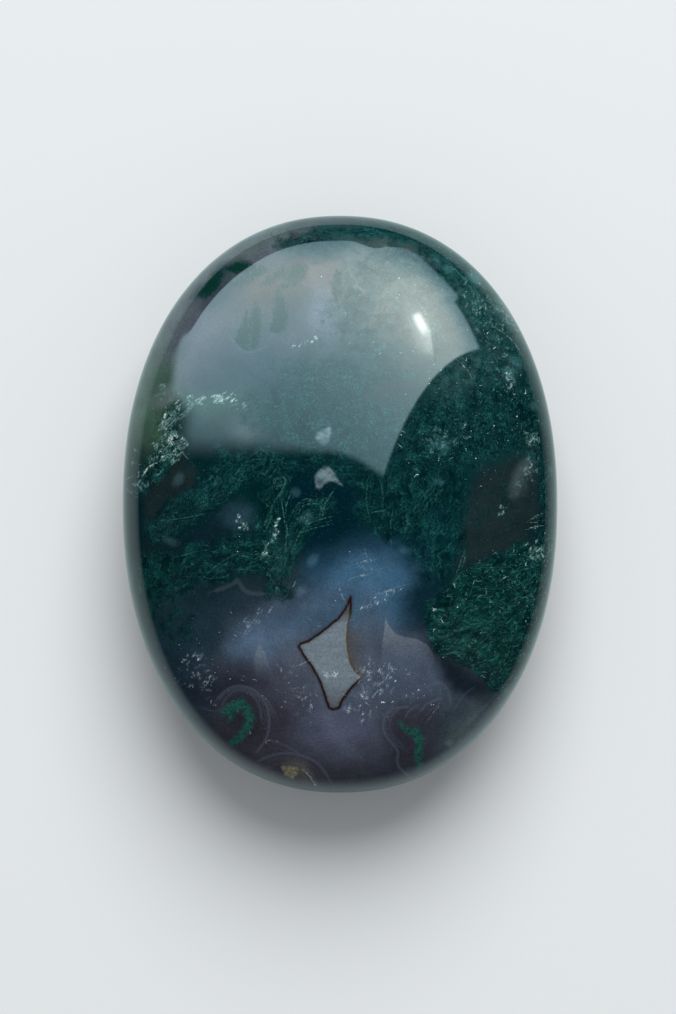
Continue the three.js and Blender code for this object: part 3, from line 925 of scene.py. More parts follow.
@dataclass
class Finish:
    """A material, with short ways to add the usual nodes to it.

    Places are read in millimetres, and a scale is how many times a pattern changes in one.
    """

    name: str
    material: bpy.types.Material = field(init=False)

    def __post_init__(self) -> None:
        """Makes the material with no nodes in it."""
        self.material = bpy.data.materials.new(self.name)
        self.material.use_nodes = True
        self.material.node_tree.nodes.clear()

    def node(self, kind: str, fed: dict | None = None, **settings: object) -> bpy.types.Node:
        """Adds a node.

        Args:
            kind: The node's type.
            fed: What each of its sockets gets: another's output, or a fixed value.
            settings: Values for its properties.

        Returns:
            The node.
        """
        added = self.material.node_tree.nodes.new("ShaderNode" + kind)
        for key, value in settings.items():
            setattr(added, key, value)
        for key, value in (fed or {}).items():
            if isinstance(value, Socket):
                self.material.node_tree.links.new(value, added.inputs[key])
            else:
                added.inputs[key].default_value = value
        return added

    def close(self, shader: bpy.types.Node) -> bpy.types.Material:
        """Sends a shader to the material's output, which finishes the material."""
        self.node("OutputMaterial", {"Surface": shader.outputs[0]})
        return self.material

    def object_place(self) -> Socket:
        """Where the colour is read, in metres from the object's origin."""
        return self.node("TexCoord").outputs["Object"]

    def painted(self, name: str, output: str = "Color") -> Socket:
        """The colour that the mesh holds under a name, or its vector."""
        return self.node("Attribute", attribute_name=name).outputs[output]

    def maths(self, operation: str, *values: Number, clamp: bool = False) -> Socket:
        """Works out one number from others."""
        fed = dict(enumerate(values))
        return self.node("Math", fed, operation=operation, use_clamp=clamp).outputs[0]

    def product(self, *values: Number) -> Socket:
        """Multiplies numbers together."""
        return reduce(lambda so_far, value: self.maths("MULTIPLY", so_far, value), values)

    def total(self, *values: Number) -> Socket:
        """Adds numbers together."""
        return reduce(lambda so_far, value: self.maths("ADD", so_far, value), values)

    def most(self, *values: Number) -> Socket:
        """The largest of some numbers."""
        return reduce(lambda so_far, value: self.maths("MAXIMUM", so_far, value), values)

    def tuned(self, value: Number, gain: Number, shift: Number) -> Socket:
        """A number times the gain, plus the shift."""
        return self.maths("MULTIPLY_ADD", value, gain, shift)

    def eased(self, value: Number, start: Number, end: Number, top: float = 1.0) -> Socket:
        """Goes smoothly from 0 where the value is at start to top where it is at end."""
        fed = {"Value": value, "From Min": start, "From Max": end, "To Max": top}
        return self.node("MapRange", fed, interpolation_type="SMOOTHSTEP").outputs[0]

    def vector(self, operation: str, *values: object, scale: Number | None = None) -> Socket:
        """Works out one vector from others, or a number for LENGTH and DOT_PRODUCT.

        Args:
            operation: The Vector Math node's operation.
            values: Its inputs, in order.
            scale: The factor, for SCALE.

        Returns:
            The result.
        """
        fed = dict(enumerate(values)) | ({} if scale is None else {"Scale": scale})
        added = self.node("VectorMath", fed, operation=operation)
        return added.outputs["Value" if operation in ("LENGTH", "DOT_PRODUCT") else "Vector"]

    def parts(self, value: Socket) -> tuple[Socket, ...]:
        """Splits a vector or colour into its three numbers."""
        return tuple(self.node("SeparateXYZ", {0: value}).outputs)

    def over(self, under: object, top: object, share: Number) -> Socket:
        """Lays one colour over another, by how much of the top shows."""
        return self.node("Mix", {0: share, 6: under, 7: top}, data_type="RGBA").outputs[2]

    def blend(self, first: Tint, second: Tint, share: Number) -> Socket:
        """Mixes two colours, by how much of the second shows."""
        return self.over(shade(first), shade(second), share)

    def noise(self, place: Socket, scale: float, detail: float, rough: float) -> bpy.types.Node:
        """Adds smooth noise with finer layers, whose strength is rough."""
        fed = {"Vector": place, "Scale": scale, "Detail": detail, "Roughness": rough}
        return self.node("TexNoise", fed)

    def cloud(self, place: Socket, scale: float, detail: float = 2.0, rough: float = 0.5) -> Socket:
        """A smooth random value around a half, which changes with the place."""
        return self.noise(place, scale, detail, rough).outputs["Fac"]

    def ragged(self, place: Socket, scale: float, detail: float, rough: float, reach: float) -> Socket:
        """A smooth random number from about minus half the reach to plus half of it."""
        return self.tuned(self.cloud(place, scale, detail, rough), reach, -reach / 2)

    def shifted(self, place: Socket, scale: float, reach: float) -> Socket:
        """Moves the place by smooth random steps, each way by up to the reach."""
        step = self.vector("SUBTRACT", self.noise(place, scale, 2.0, 0.5).outputs["Color"], (0.5,) * 3)
        return self.vector("ADD", place, self.vector("SCALE", step, scale=2 * reach))

    def threads(self, place: Socket, scale: float, width: float, seed: float) -> Socket:
        """Fine wandering lines, broken here and there.

        Args:
            place: Where they are read.
            scale: How many times they turn in a millimetre.
            width: How thick they are, as a share of their spacing.
            seed: Which of many such patterns it is.

        Returns:
            1 on a line and 0 beside it.
        """
        moved = self.vector("ADD", place, (seed, seed * 0.7, seed * 1.3))
        away = self.maths("ABSOLUTE", self.maths("SUBTRACT", self.cloud(moved, scale, 1.5), 0.5))
        kept = self.eased(self.cloud(moved, scale * 1.2), 0.42, 0.58)
        return self.product(self.eased(away, width, 0.0), kept)


@dataclass
class PolishedMossAgate(Finish):
    """The stone's finish: glassy polish over chalcedony with moss grown through it.

    place is in millimetres and x and y are its parts, loose is the place moved about a little, and
    colour is what is laid so far.
    """

    name: str = "polished_moss_agate"
    gloss_ior: float = 1.54
    polish: float = 0.03
    scratch: float = 0.1
    place: Socket | None = None
    x: Socket | None = None
    y: Socket | None = None
    loose: Socket | None = None
    colour: Socket | None = None

    def make(self) -> bpy.types.Material:
        """Builds the material, which reads the colours and numbers painted on the stone.

        Returns:
            The material.
        """
        self.place = self.vector("SCALE", self.object_place(), scale=1 / MM)
        self.x, self.y, _ = self.parts(self.place)
        self.loose = self.shifted(self.place, 1.4, 0.5)
        density, vivid, plume = self.parts(self.painted("growth"))
        drawn, frost, _ = self.parts(self.painted("drawn"))
        self.lay_chalcedony()
        self.lay_plumes(plume)
        self.lay_moss(density, vivid)
        self.lay_drawn_moss(drawn)
        self.lay_airs()
        self.lay_grains()
        self.lay_window()
        fuzz = self.tuned(self.cloud(self.place, 5.5, 1.0), 0.8, 0.6)
        self.colour = self.vector("SCALE", self.colour, scale=fuzz)
        self.lay_lines()
        rough = self.tuned(self.lay_grit(frost), self.scratch, self.polish)
        fed = {"Base Color": self.colour, "IOR": self.gloss_ior, "Roughness": rough}
        return self.close(self.node("BsdfPrincipled", fed))

    def lay(self, top: Tint | Socket, share: Number) -> None:
        """Lays a colour over what is laid so far, by how much of it shows."""
        top = shade(top) if isinstance(top, Tint) else top
        self.colour = self.over(self.colour, top, share)

    def lay_chalcedony(self) -> None:
        """Starts with the clear and milky stone, with faint clouds in it."""
        value = self.tuned(self.cloud(self.loose, 0.45, 4.0, 0.55), 0.9, 0.55)
        self.colour = self.vector("SCALE", self.painted("body"), scale=value)
        self.lay(Tint.CLOUD, self.eased(self.cloud(self.place, 4.0, 2.0, 0.6), 0.62, 0.8, 0.25))

    def lay_plumes(self, plume: Socket) -> None:
        """Lays the dark plumes of the upper end, by how surely one grows there."""
        upright = self.vector("MULTIPLY", self.loose, (2.0, 0.6, 1.0))
        ragged = self.ragged(upright, 2.6, 4.0, 0.75, 4.4)
        grown = self.eased(self.total(plume, ragged), 0.0, 0.8, 0.97)
        self.lay(Tint.PLUME, self.product(grown, self.eased(plume, 0.0, 0.4)))

    def lay_moss(self, density: Socket, vivid: Socket) -> None:
        """Lays the moss: dark deep growth, then brighter threads.

        Args:
            density: How thickly the moss grows, from 0 to 1.
            vivid: How bright its highest threads are, from 0 to 1.
        """
        loose = self.loose
        flow = self.vector("MULTIPLY", self.painted("flow", "Vector"), (ALONG, 1.0, 1.0))
        flow = self.shifted(flow, 0.8, 0.6)
        ragged = self.ragged(loose, 0.8, 5.0, 0.62, 1.8)
        mass = self.eased(self.total(density, ragged), 0.22, 0.75)
        clumps = self.eased(self.cloud(loose, 0.7, 4.0, 0.6), 0.42, 0.62, 0.85)
        self.lay(Tint.MOSS_BED, self.product(mass, 0.78))
        soft = self.eased(self.cloud(flow, 0.9, 4.0, 0.62), 0.42, 0.74)
        self.lay(Tint.SOFT_MOSS, self.product(soft, mass, 0.7))
        fine = self.eased(self.cloud(loose, 3.0, 3.0, 0.72), 0.5, 0.82)
        self.lay(Tint.FINE_MOSS, self.product(fine, mass, clumps, 0.75))
        self.lay(Tint.MOSS_THREAD, self.product(self.threads(flow, 1.8, 0.05, 11.0), mass, 0.4))
        lacy = self.most(self.threads(loose, 1.9, 0.05, 29.0), self.threads(loose, 3.3, 0.07, 43.0))
        self.lay(Tint.MOSS_LACE, self.product(lacy, mass, clumps, 0.6))
        self.lay(Tint.VIVID_MOSS, self.product(self.threads(flow, 2.7, 0.035, 61.0), mass, vivid, 0.65))
        gaps = self.eased(self.cloud(flow, 0.8, 5.0, 0.65), 0.5, 0.36)
        self.lay(Tint.MOSS_GAP, self.product(gaps, mass, 0.75))

    def lay_drawn_moss(self, drawn: Socket) -> None:
        """Lays the separately drawn threads of moss, by how bright they are."""
        drawn = self.product(drawn, self.tuned(self.cloud(self.place, 4.5, 2.0, 0.6), 1.6, 0.1))
        self.lay(Tint.DRAWN_MOSS, self.eased(drawn, 0.05, 0.75, 0.8))
        self.lay(Tint.BRIGHT_DRAWN, self.eased(drawn, 0.45, 1.1, 0.8))

    def lay_airs(self) -> None:
        """Turns the moss greener in places, hollows it out and lays a painted glow of light in front of it.
        """
        green, haze, dark = self.parts(self.painted("airs"))
        greener = self.over((1, 1, 1, 1), (1.0, 1.05, 0.93, 1), green)
        self.colour = self.vector("MULTIPLY", self.colour, greener)
        hollow = self.eased(self.cloud(self.loose, 0.9, 4.0, 0.62), 0.44, 0.58, 0.85)
        self.lay(Tint.HOLLOW, self.product(dark, hollow))
        # Painted light: a pale glow laid in front of the moss, as strong as haze holds there
        cloudy = self.eased(self.cloud(self.loose, 1.0, 4.0, 0.6), 0.3, 0.72, 0.55)
        self.lay(Tint.HAZE, self.product(haze, cloudy))

    def lay_grains(self) -> None:
        """Lays the small bodies that lie in the stone: dim, pale, olive, milky and green."""
        pale, dim, olive = self.parts(self.painted("grains", "Vector"))
        _, shard, green = self.parts(self.painted("marks", "Vector"))
        wobble = self.ragged(self.place, 2.4, 3.0, 0.6, 0.5)
        mottle = self.eased(self.cloud(self.place, 3.0, 3.0, 0.65), 0.36, 0.62)
        haze = self.eased(self.cloud(self.place, 1.1), 0.32, 0.68)

        lighter = self.vector("MULTIPLY_ADD", self.colour, (1.6, 1.6, 1.6), (0.02, 0.04, 0.047))
        self.lay(lighter, self.eased(self.total(dim, wobble), -0.25, 0.3, 0.7))
        share = self.eased(self.total(pale, wobble), -0.14, 0.2, 0.9)
        self.lay(self.blend(Tint.GRAIN, Tint.PALE_GRAIN, haze), share)
        share = self.eased(self.total(olive, wobble), -0.2, 0.2, 0.8)
        self.lay(self.blend(Tint.OLIVE_GRAIN, Tint.PALE_OLIVE, mottle), share)
        fade = self.eased(self.total(self.y, self.eased(self.x, -2.0, -6.0, 1.4)), -18.5, -11.5)
        self.lay(Tint.SHARD, self.product(self.eased(shard, -0.06, 0.1, 0.75), fade, fade))
        ragged = self.ragged(self.loose, 2.2, 3.0, 0.65, 1.1)
        share = self.eased(self.total(green, ragged), -0.3, 0.3, 0.85)
        self.lay(self.blend(Tint.INCLUSION, Tint.PALE_INCLUSION, mottle), share)

    def lay_window(self) -> None:
        """Lays the pale quartz window with its stained outline, which is golden at the right."""
        depth = self.parts(self.painted("marks", "Vector"))[0]
        y = self.y
        wobble = self.ragged(self.place, 2.2, 3.0, 0.6, 0.2)
        depth = self.total(depth, wobble)
        streaks = self.vector("MULTIPLY", self.place, (0.5, 2.5, 1.0))
        streaks = self.eased(self.cloud(streaks, 1.0, 3.0), 0.35, 0.65)
        milk = self.blend(Tint.QUARTZ, Tint.PALE_QUARTZ, streaks)
        milk = self.over(milk, shade(Tint.GREY_QUARTZ), self.eased(y, -17.8, -21.0, 0.8))
        milk = self.over(milk, shade(Tint.STAINED_QUARTZ), self.eased(y, -12.6, -10.6, 0.8))
        self.lay(milk, self.eased(depth, -0.05, 0.06, 0.95))

        right = self.eased(self.x, 0.1, 0.6)
        gold = self.product(right, self.eased(y, -10.6, -12.0), self.eased(y, -18.4, -17.6))
        away = self.maths("ABSOLUTE", depth)
        halo = self.product(self.eased(away, 0.5, 0.0, 0.4), self.maths("SUBTRACT", 1.0, gold))
        self.lay(Tint.HALO, halo)
        line = self.eased(away, self.tuned(gold, -0.03, 0.2), 0.04)
        self.lay(self.blend(Tint.RUST, Tint.GOLD, gold), self.product(line, self.tuned(gold, -0.1, 0.95)))

    def lay_lines(self) -> None:
        """Lays the lines that are drawn by themselves: moss, frost and walls."""
        away, strength, kind = self.parts(self.painted("lines", "Vector"))
        wall = self.eased(kind, 1.2, 1.8)
        wobble = self.ragged(self.place, 2.6, 3.0, 0.65, 3.0)
        away = self.total(away, self.product(wobble, self.tuned(wall, -0.7, 1.0)))
        broken = self.most(self.eased(self.cloud(self.place, 3.4, 3.0, 0.65), 0.38, 0.66), wall)
        shown = self.eased(self.maths("ABSOLUTE", away), self.tuned(wall, 1.1, 1.5), 0.3)
        share = self.product(shown, strength, broken, self.tuned(wall, -0.5, 1.0))
        tint = self.blend(Tint.MOSS_LINE, Tint.FROST_LINE, self.eased(kind, 0.2, 0.8))
        self.lay(self.over(tint, shade(Tint.WALL_LINE), wall), self.maths("MINIMUM", share, 0.9))

    def lay_grit(self, frost: Socket) -> Socket:
        """Lays the frost, lace, specks and scratches, which are pale.

        Args:
            frost: How bright a drawn thread of frost is there.

        Returns:
            How bright all these are, from 0 to 1.
        """
        net = (self.threads(self.place, 4.5, 0.13, 17.0), self.threads(self.place, 8.0, 0.16, 37.0))
        net = self.tuned(self.most(*net), 1.5, 0.12)
        frost = self.most(self.product(frost, net), self.tuned(frost, 0.8, -0.55))
        grit = self.maths("MAXIMUM", self.fine_grit(), frost, clamp=True)
        low = self.eased(self.y, -6.0, -10.0)
        self.lay(self.blend(Tint.GRIT, Tint.BLUE_GRIT, low), self.eased(grit, 0.02, 0.5, 0.65))
        self.lay(Tint.BRIGHT_GRIT, self.eased(grit, 0.45, 1.0, 0.9))
        return grit

    def fine_grit(self) -> Socket:
        """The fine lace, specks and scratches near the surface.

        Returns:
            How bright they are, from 0 to 1.
        """
        lace, specks, scratches = self.parts(self.painted("sprinkles", "Vector"))
        ragged = self.ragged(self.loose, 1.3, 3.0, 0.6, 2.0)
        shown = self.eased(self.total(lace, ragged), 0.25, 0.8)
        curls = (self.threads(self.loose, 2.3, 0.09, 71.0), self.threads(self.loose, 4.0, 0.1, 83.0))
        layers = [self.product(self.most(*curls), shown, self.eased(lace, 0.0, 0.3), 0.66)]
        for scale, size in ((2.1, 0.22), (4.3, 0.26)):
            layers.append(self.dots(self.place, scale, size, specks))
        for turn, seed in ((52.0, 5.0), (-24.0, 9.0)):
            fed = {"Vector": self.vector("ADD", self.loose, (seed, 0, 0)), "Angle": math.radians(-turn)}
            way = self.node("VectorRotate", fed, rotation_type="Z_AXIS").outputs[0]
            squeezed = self.vector("MULTIPLY", way, (0.8, 5.0, 1.0))
            layers.append(self.dots(squeezed, 1.0, 0.3, scratches))
        return self.most(*layers)

    def dots(self, place: Socket, scale: float, size: float, chance: Socket) -> Socket:
        """Small spots of different sizes.

        Args:
            place: Where they are read.
            scale: How many places for a spot there are in a millimetre.
            size: The largest spot's radius, as a share of the spacing.
            chance: How many of the places hold a spot, from 0 to 1.

        Returns:
            Each spot's brightness, and 0 beside it.
        """
        cells = self.node("TexVoronoi", {"Vector": place, "Scale": scale})
        pick, bright, large = self.parts(cells.outputs["Color"])
        kept = self.maths("LESS_THAN", pick, self.product(chance, 0.75))
        radius = self.tuned(self.product(large, large), size * 0.7, size * 0.3)
        spot = self.eased(cells.outputs["Distance"], radius, self.product(radius, 0.5))
        return self.product(spot, kept, self.tuned(bright, 0.75, 0.2))


@dataclass
class PalmStone:
    """The stone: its form, its markings and its finish. Sizes are in metres.

    lower_rim is where the lower dome's grid ends, as a share of the way to the girdle.
    """

    width: float
    length: float
    thickness: float
    outline_power: float = 2.18
    dome_power: float = 2.2
    resting_share: float = 0.2
    upper_cells: int = 296
    lower_cells: int = 100
    lower_rim: float = 0.985
    piece: bpy.types.Object | None = None

    @property
    def dome_height(self) -> float:
        """How high each dome would be with no resting spot."""
        drop = 1 - (1 - self.resting_share**self.dome_power) ** (1 / self.dome_power)
        return self.thickness / (2 - drop)

    @property
    def girdle_height(self) -> float:
        """How high the widest line of the stone lies."""
        return self.thickness - self.dome_height

    def ring_shares(self, rings: int, last: float) -> tuple[Column, Column]:
        """Sets out rings evenly along the dome's section, from the crown towards the girdle.

        Args:
            rings: How many rings there are.
            last: Where the last ring lies, as a share of the way to the girdle.

        Returns:
            Each ring's share of the oval, and its height as a share of the dome's.
        """
        angle = np.linspace(0, math.pi / 2, 4000)
        share = np.sin(angle) ** (2 / self.dome_power)
        rise = np.cos(angle) ** (2 / self.dome_power)
        radius = (self.width + self.length) / 4
        steps = np.hypot(np.diff(share) * radius, np.diff(rise) * self.dome_height)
        walked = np.concatenate([[0], np.cumsum(steps)])
        shares = np.interp(np.linspace(0, walked[-1] * last, rings + 1), walked, share)
        return shares, (1 - np.minimum(shares, 1) ** self.dome_power) ** (1 / self.dome_power)

    def add_dome(self, shell: bmesh.types.BMesh, cells: int, side: int, last: float) -> list:
        """Adds one dome, bent from a square grid whose squares become rings.

        Args:
            shell: The mesh that it joins.
            cells: How many cells the grid has each way.
            side: 1 for the upper dome, or -1 for the lower one.
            last: Where its rim lies, as a share of the way to the girdle.

        Returns:
            The edges of its rim.
        """
        grid = bmesh.ops.create_grid(shell, x_segments=cells, y_segments=cells, size=1)["verts"]
        shares, rises = self.ring_shares(cells // 2, last)
        for vert in grid:
            u, v = vert.co.x, vert.co.y
            ring = round(max(abs(u), abs(v)) * cells / 2)
            turn = 0.0
            if ring:
                turn = math.pi / 4 * (v / u if abs(u) >= abs(v) else 2 - u / v)
                turn += math.pi if (u < 0 if abs(u) >= abs(v) else v < 0) else 0.0
            x, y = math.cos(turn), math.sin(turn)
            oval = abs(x) ** self.outline_power + abs(y) ** self.outline_power
            share = shares[ring] * oval ** (-1 / self.outline_power) / 2
            height = self.girdle_height + side * rises[ring] * self.dome_height
            vert.co = (x * share * self.width, y * share * self.length, max(height, 0.0))
        return list({edge for vert in grid for edge in vert.link_edges if edge.is_boundary})

    def build(self) -> None:
        """Builds the stone as one closed smooth mesh."""
        shell = bmesh.new()
        rims = self.add_dome(shell, self.upper_cells, 1, 1.0)
        rims += self.add_dome(shell, self.lower_cells, -1, self.lower_rim)
        bmesh.ops.bridge_loops(shell, edges=rims)
        bmesh.ops.recalc_face_normals(shell, faces=shell.faces[:])
        self.piece = set_out("polished_palm_stone", shell)
        self.piece.data.shade_smooth()

    def paint(self) -> None:
        """Writes the markings into the mesh, which the finish reads."""
        mesh = self.piece.data
        places = np.empty(len(mesh.vertices) * 3)
        mesh.vertices.foreach_get("co", places)
        places = places.reshape(-1, 3) / MM
        x, y, z = places.T
        girdle = self.girdle_height / MM
        loose = 1 + 2 * ease(z, girdle + 5, girdle)[:, None]
        moved = places + (wander(places, 0.35, 0.6) + wander(places, 1.3, 0.2)) * loose
        under = ease(z, girdle - 1, girdle - 5)[:, None]
        on_top = z > girdle - 0.1

        body, growth, flow = lay_out(moved, UPPER_WASHES, UPPER_GROWTHS)
        low_body, low_growth, low_flow = lay_out(moved, LOWER_WASHES, LOWER_GROWTHS)
        growth[:, 2] = np.max([area.cover(x, y) for area in DARK_PLUMES], axis=0) * on_top
        self.store("body", body * (1 - under) + low_body * under)
        self.store("growth", growth * (1 - under) + low_growth * under)
        self.store("flow", np.where(under > 0.5, low_flow, flow), "FLOAT_VECTOR")
        self.store("lines", draw_lines(places, on_top), "FLOAT_VECTOR")
        self.store("drawn", draw_tufts(places, on_top))
        sprinkled = np.zeros((len(places), len(Grit)))
        for kind, areas in SPRINKLES.items():
            covers = [area.cover(*moved[:, :2].T) * on_top * amount for area, amount in areas]
            sprinkled[:, kind.value] = np.max(covers, axis=0)
        self.store("sprinkles", sprinkled[:, :3], "FLOAT_VECTOR")
        # airs holds greener moss, a painted glow of light, and dark hollows
        self.store("airs", sprinkled[:, 3:])
        for name, kinds in (
            ("marks", ((WINDOW,), SHARDS, GREEN_INCLUSIONS)),
            ("grains", (PALE_GRAINS, DIM_GRAINS, (OLIVE_CRYSTAL,))),
        ):
            depths = [np.max([area.depth(x, y) for area in areas], axis=0) for areas in kinds]
            depths = np.where(on_top, np.clip(depths, -DEEPEST, DEEPEST), -DEEPEST).T
            self.store(name, depths, "FLOAT_VECTOR")

    def store(self, name: str, values: Column, kind: str = "FLOAT_COLOR") -> None:
        """Writes three numbers for each point of the mesh.

        Args:
            name: What the material reads them by.
            values: A row of three for each point.
            kind: FLOAT_COLOR or FLOAT_VECTOR.
        """
        key = "vector"
        if kind == "FLOAT_COLOR":
            key, values = "color", np.hstack([values, np.ones((len(values), 1))])
        layer = self.piece.data.attributes.new(name, kind, "POINT")
        layer.data.foreach_set(key, values.ravel().astype(np.float32))

    def dress(self, finish: PolishedMossAgate) -> None:
        """Gives the stone its finish and sets it in the frame."""
        self.piece.data.materials.append(finish.make())
        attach(self.piece, "root")
        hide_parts(STONE_NODE)


def set_out(name: str, shape: bmesh.types.BMesh) -> bpy.types.Object:
    """Makes a shape an object of the scene.

    Args:
        name: The object's name.
        shape: Its shape, which is freed.

    Returns:
        The object.
    """
    mesh = bpy.data.meshes.new(name)
    shape.to_mesh(mesh)
    shape.free()
    made = bpy.data.objects.new(name, mesh)
    bpy.context.scene.collection.objects.link(made)
    return made


def wander(places: Column, scale: float, reach: float) -> Column:
    """Smooth random steps up to the reach, which change with the place."""
    noise.seed_set(SEED)
    return np.array([noise.noise_vector(Vector(row) * scale) for row in places]) * reach


def lay_out(places: Column, washes: tuple[Wash, ...], growths: tuple[Growth, ...]) -> list[Column]:
    """Works out the colours and the moss of one face.

    Args:
        places: Where they are read: rows of X, Y and Z in millimetres.
        washes: The face's colours, the lowest first.
        growths: The face's moss.

    Returns:
        The face's colour, its moss and the way its threads lie, a row for each place.
    """
    x, y, z = places.T
    body = np.tile(linear(Tint.GROUND), (len(places), 1))
    for wash in washes:
        share = (wash.area.cover(x, y) * wash.strength)[:, None]
        body = body * (1 - share) + linear(wash.tint) * share
    growth = np.zeros((len(places), 3))
    flow = places.copy()
    best = np.full(len(places), LEAST_MOSS)
    for number, moss in enumerate(growths):
        cover = moss.area.cover(x, y)
        thinned = growth[:, 0] * (1 + cover * min(moss.density, 0))
        growth[:, 0] = np.maximum(thinned, cover * moss.density)
        growth[:, 1] = growth[:, 1] * (1 - cover) + moss.vivid * cover
        along, across = (x / ALONG, y) if moss.turn is None else moss.area.grain(x, y, moss.turn)
        leads = cover * moss.density > best
        best = np.maximum(best, cover * moss.density)
        flow[leads] = np.stack([along, across, z + PATTERN_GAP * number], axis=1)[leads]
    return [body, growth, flow]


def draw_tufts(places: Column, on_top: Column) -> Column:
    """Draws the threads of moss and of frost that are laid one by one onto the upper dome.

    Args:
        places: The mesh's points, in millimetres.
        on_top: Which of them are on the upper dome.

    Returns:
        How bright a thread of moss is at each point, a thread of frost, and 0.
    """
    rows = np.flatnonzero(on_top)
    tree = kdtree.KDTree(len(rows))
    for row in rows:
        tree.insert((places[row, 0], places[row, 1], 0.0), int(row))
    tree.balance()
    rng = np.random.default_rng(SEED)
    layers = []
    for tufts in (TUFTS, FROSTING):
        drawn = [0.0] * len(places)
        for points, glow in (thread for tuft in tufts for thread in tuft.draw(rng)):
            for x, y in points:
                for _, row, away in tree.find_range((x, y, 0.0), 2.2 * THICKNESS):
                    drawn[row] = max(drawn[row], glow * math.exp(-((away / THICKNESS) ** 2)))
        layers.append(drawn)
    return np.column_stack([*layers, np.zeros(len(places))])


def draw_lines(places: Column, on_top: Column) -> Column:
    """Measures the upper dome from the lines that are drawn by themselves.

    Args:
        places: The mesh's points, in millimetres.
        on_top: Which of them are on the upper dome.

    Returns:
        The nearest line's distance in half widths, its strength and its kind, for each point.
    """
    nearest = np.tile((NO_LINE, 0.0, 0.0), (len(places), 1))
    for lines, path in ((lines, path) for lines in LINES for path in lines.paths):
        low, high = np.min(path, axis=0) - LINE_MARGIN, np.max(path, axis=0) + LINE_MARGIN
        near = np.all((places[:, :2] > low) & (places[:, :2] < high), axis=1)
        rows = np.flatnonzero(near & on_top)
        away = lines.measure(path, places[rows, 0], places[rows, 1])
        closer = abs(away) < abs(nearest[rows, 0])
        nearest[rows[closer], 0] = away[closer]
        nearest[rows[closer], 1:] = lines.strength, lines.kind.value
    return nearest


@dataclass
class PalePaint(Finish):
    """Matt pale paint. With a reach, it darkens between these distances from the middle, and more at the
    lower and right sides: painted shade and a painted shadow in the mirrored floor.
    """

    reach: Spot | None = None
    plain: tuple[float, ...] = (0.79, 0.815, 0.825, 1.0)
    near: tuple[float, ...] = (0.66, 0.83, 0.825, 1.0)
    far_shade: tuple[float, ...] = (0.02, 0.04, 0.04, 1.0)

    def make(self) -> bpy.types.Material:
        """Builds the material.

        Returns:
            The material.
        """
        paint: object = self.plain
        if self.reach:
            x, y, _ = self.parts(self.object_place())
            # Painted shade: away from the stone the mirrored floor darkens from the near colour to the far
            # one, sooner at the lower side, where a painted shadow lies, and at the right
            share = self.product(
                self.eased(self.vector("LENGTH", self.object_place()), self.reach[1], self.reach[0]),
                self.total(self.eased(y, -0.1, -0.02, 0.7), 0.3),
                self.total(self.eased(x, 0.075, 0.025, 0.8), 0.2),
            )
            paint = self.over(self.far_shade, self.near, share)
        fed = {"Base Color": paint, "Roughness": 0.9, "Specular IOR Level": 0.0}
        return self.close(self.node("BsdfPrincipled", fed))


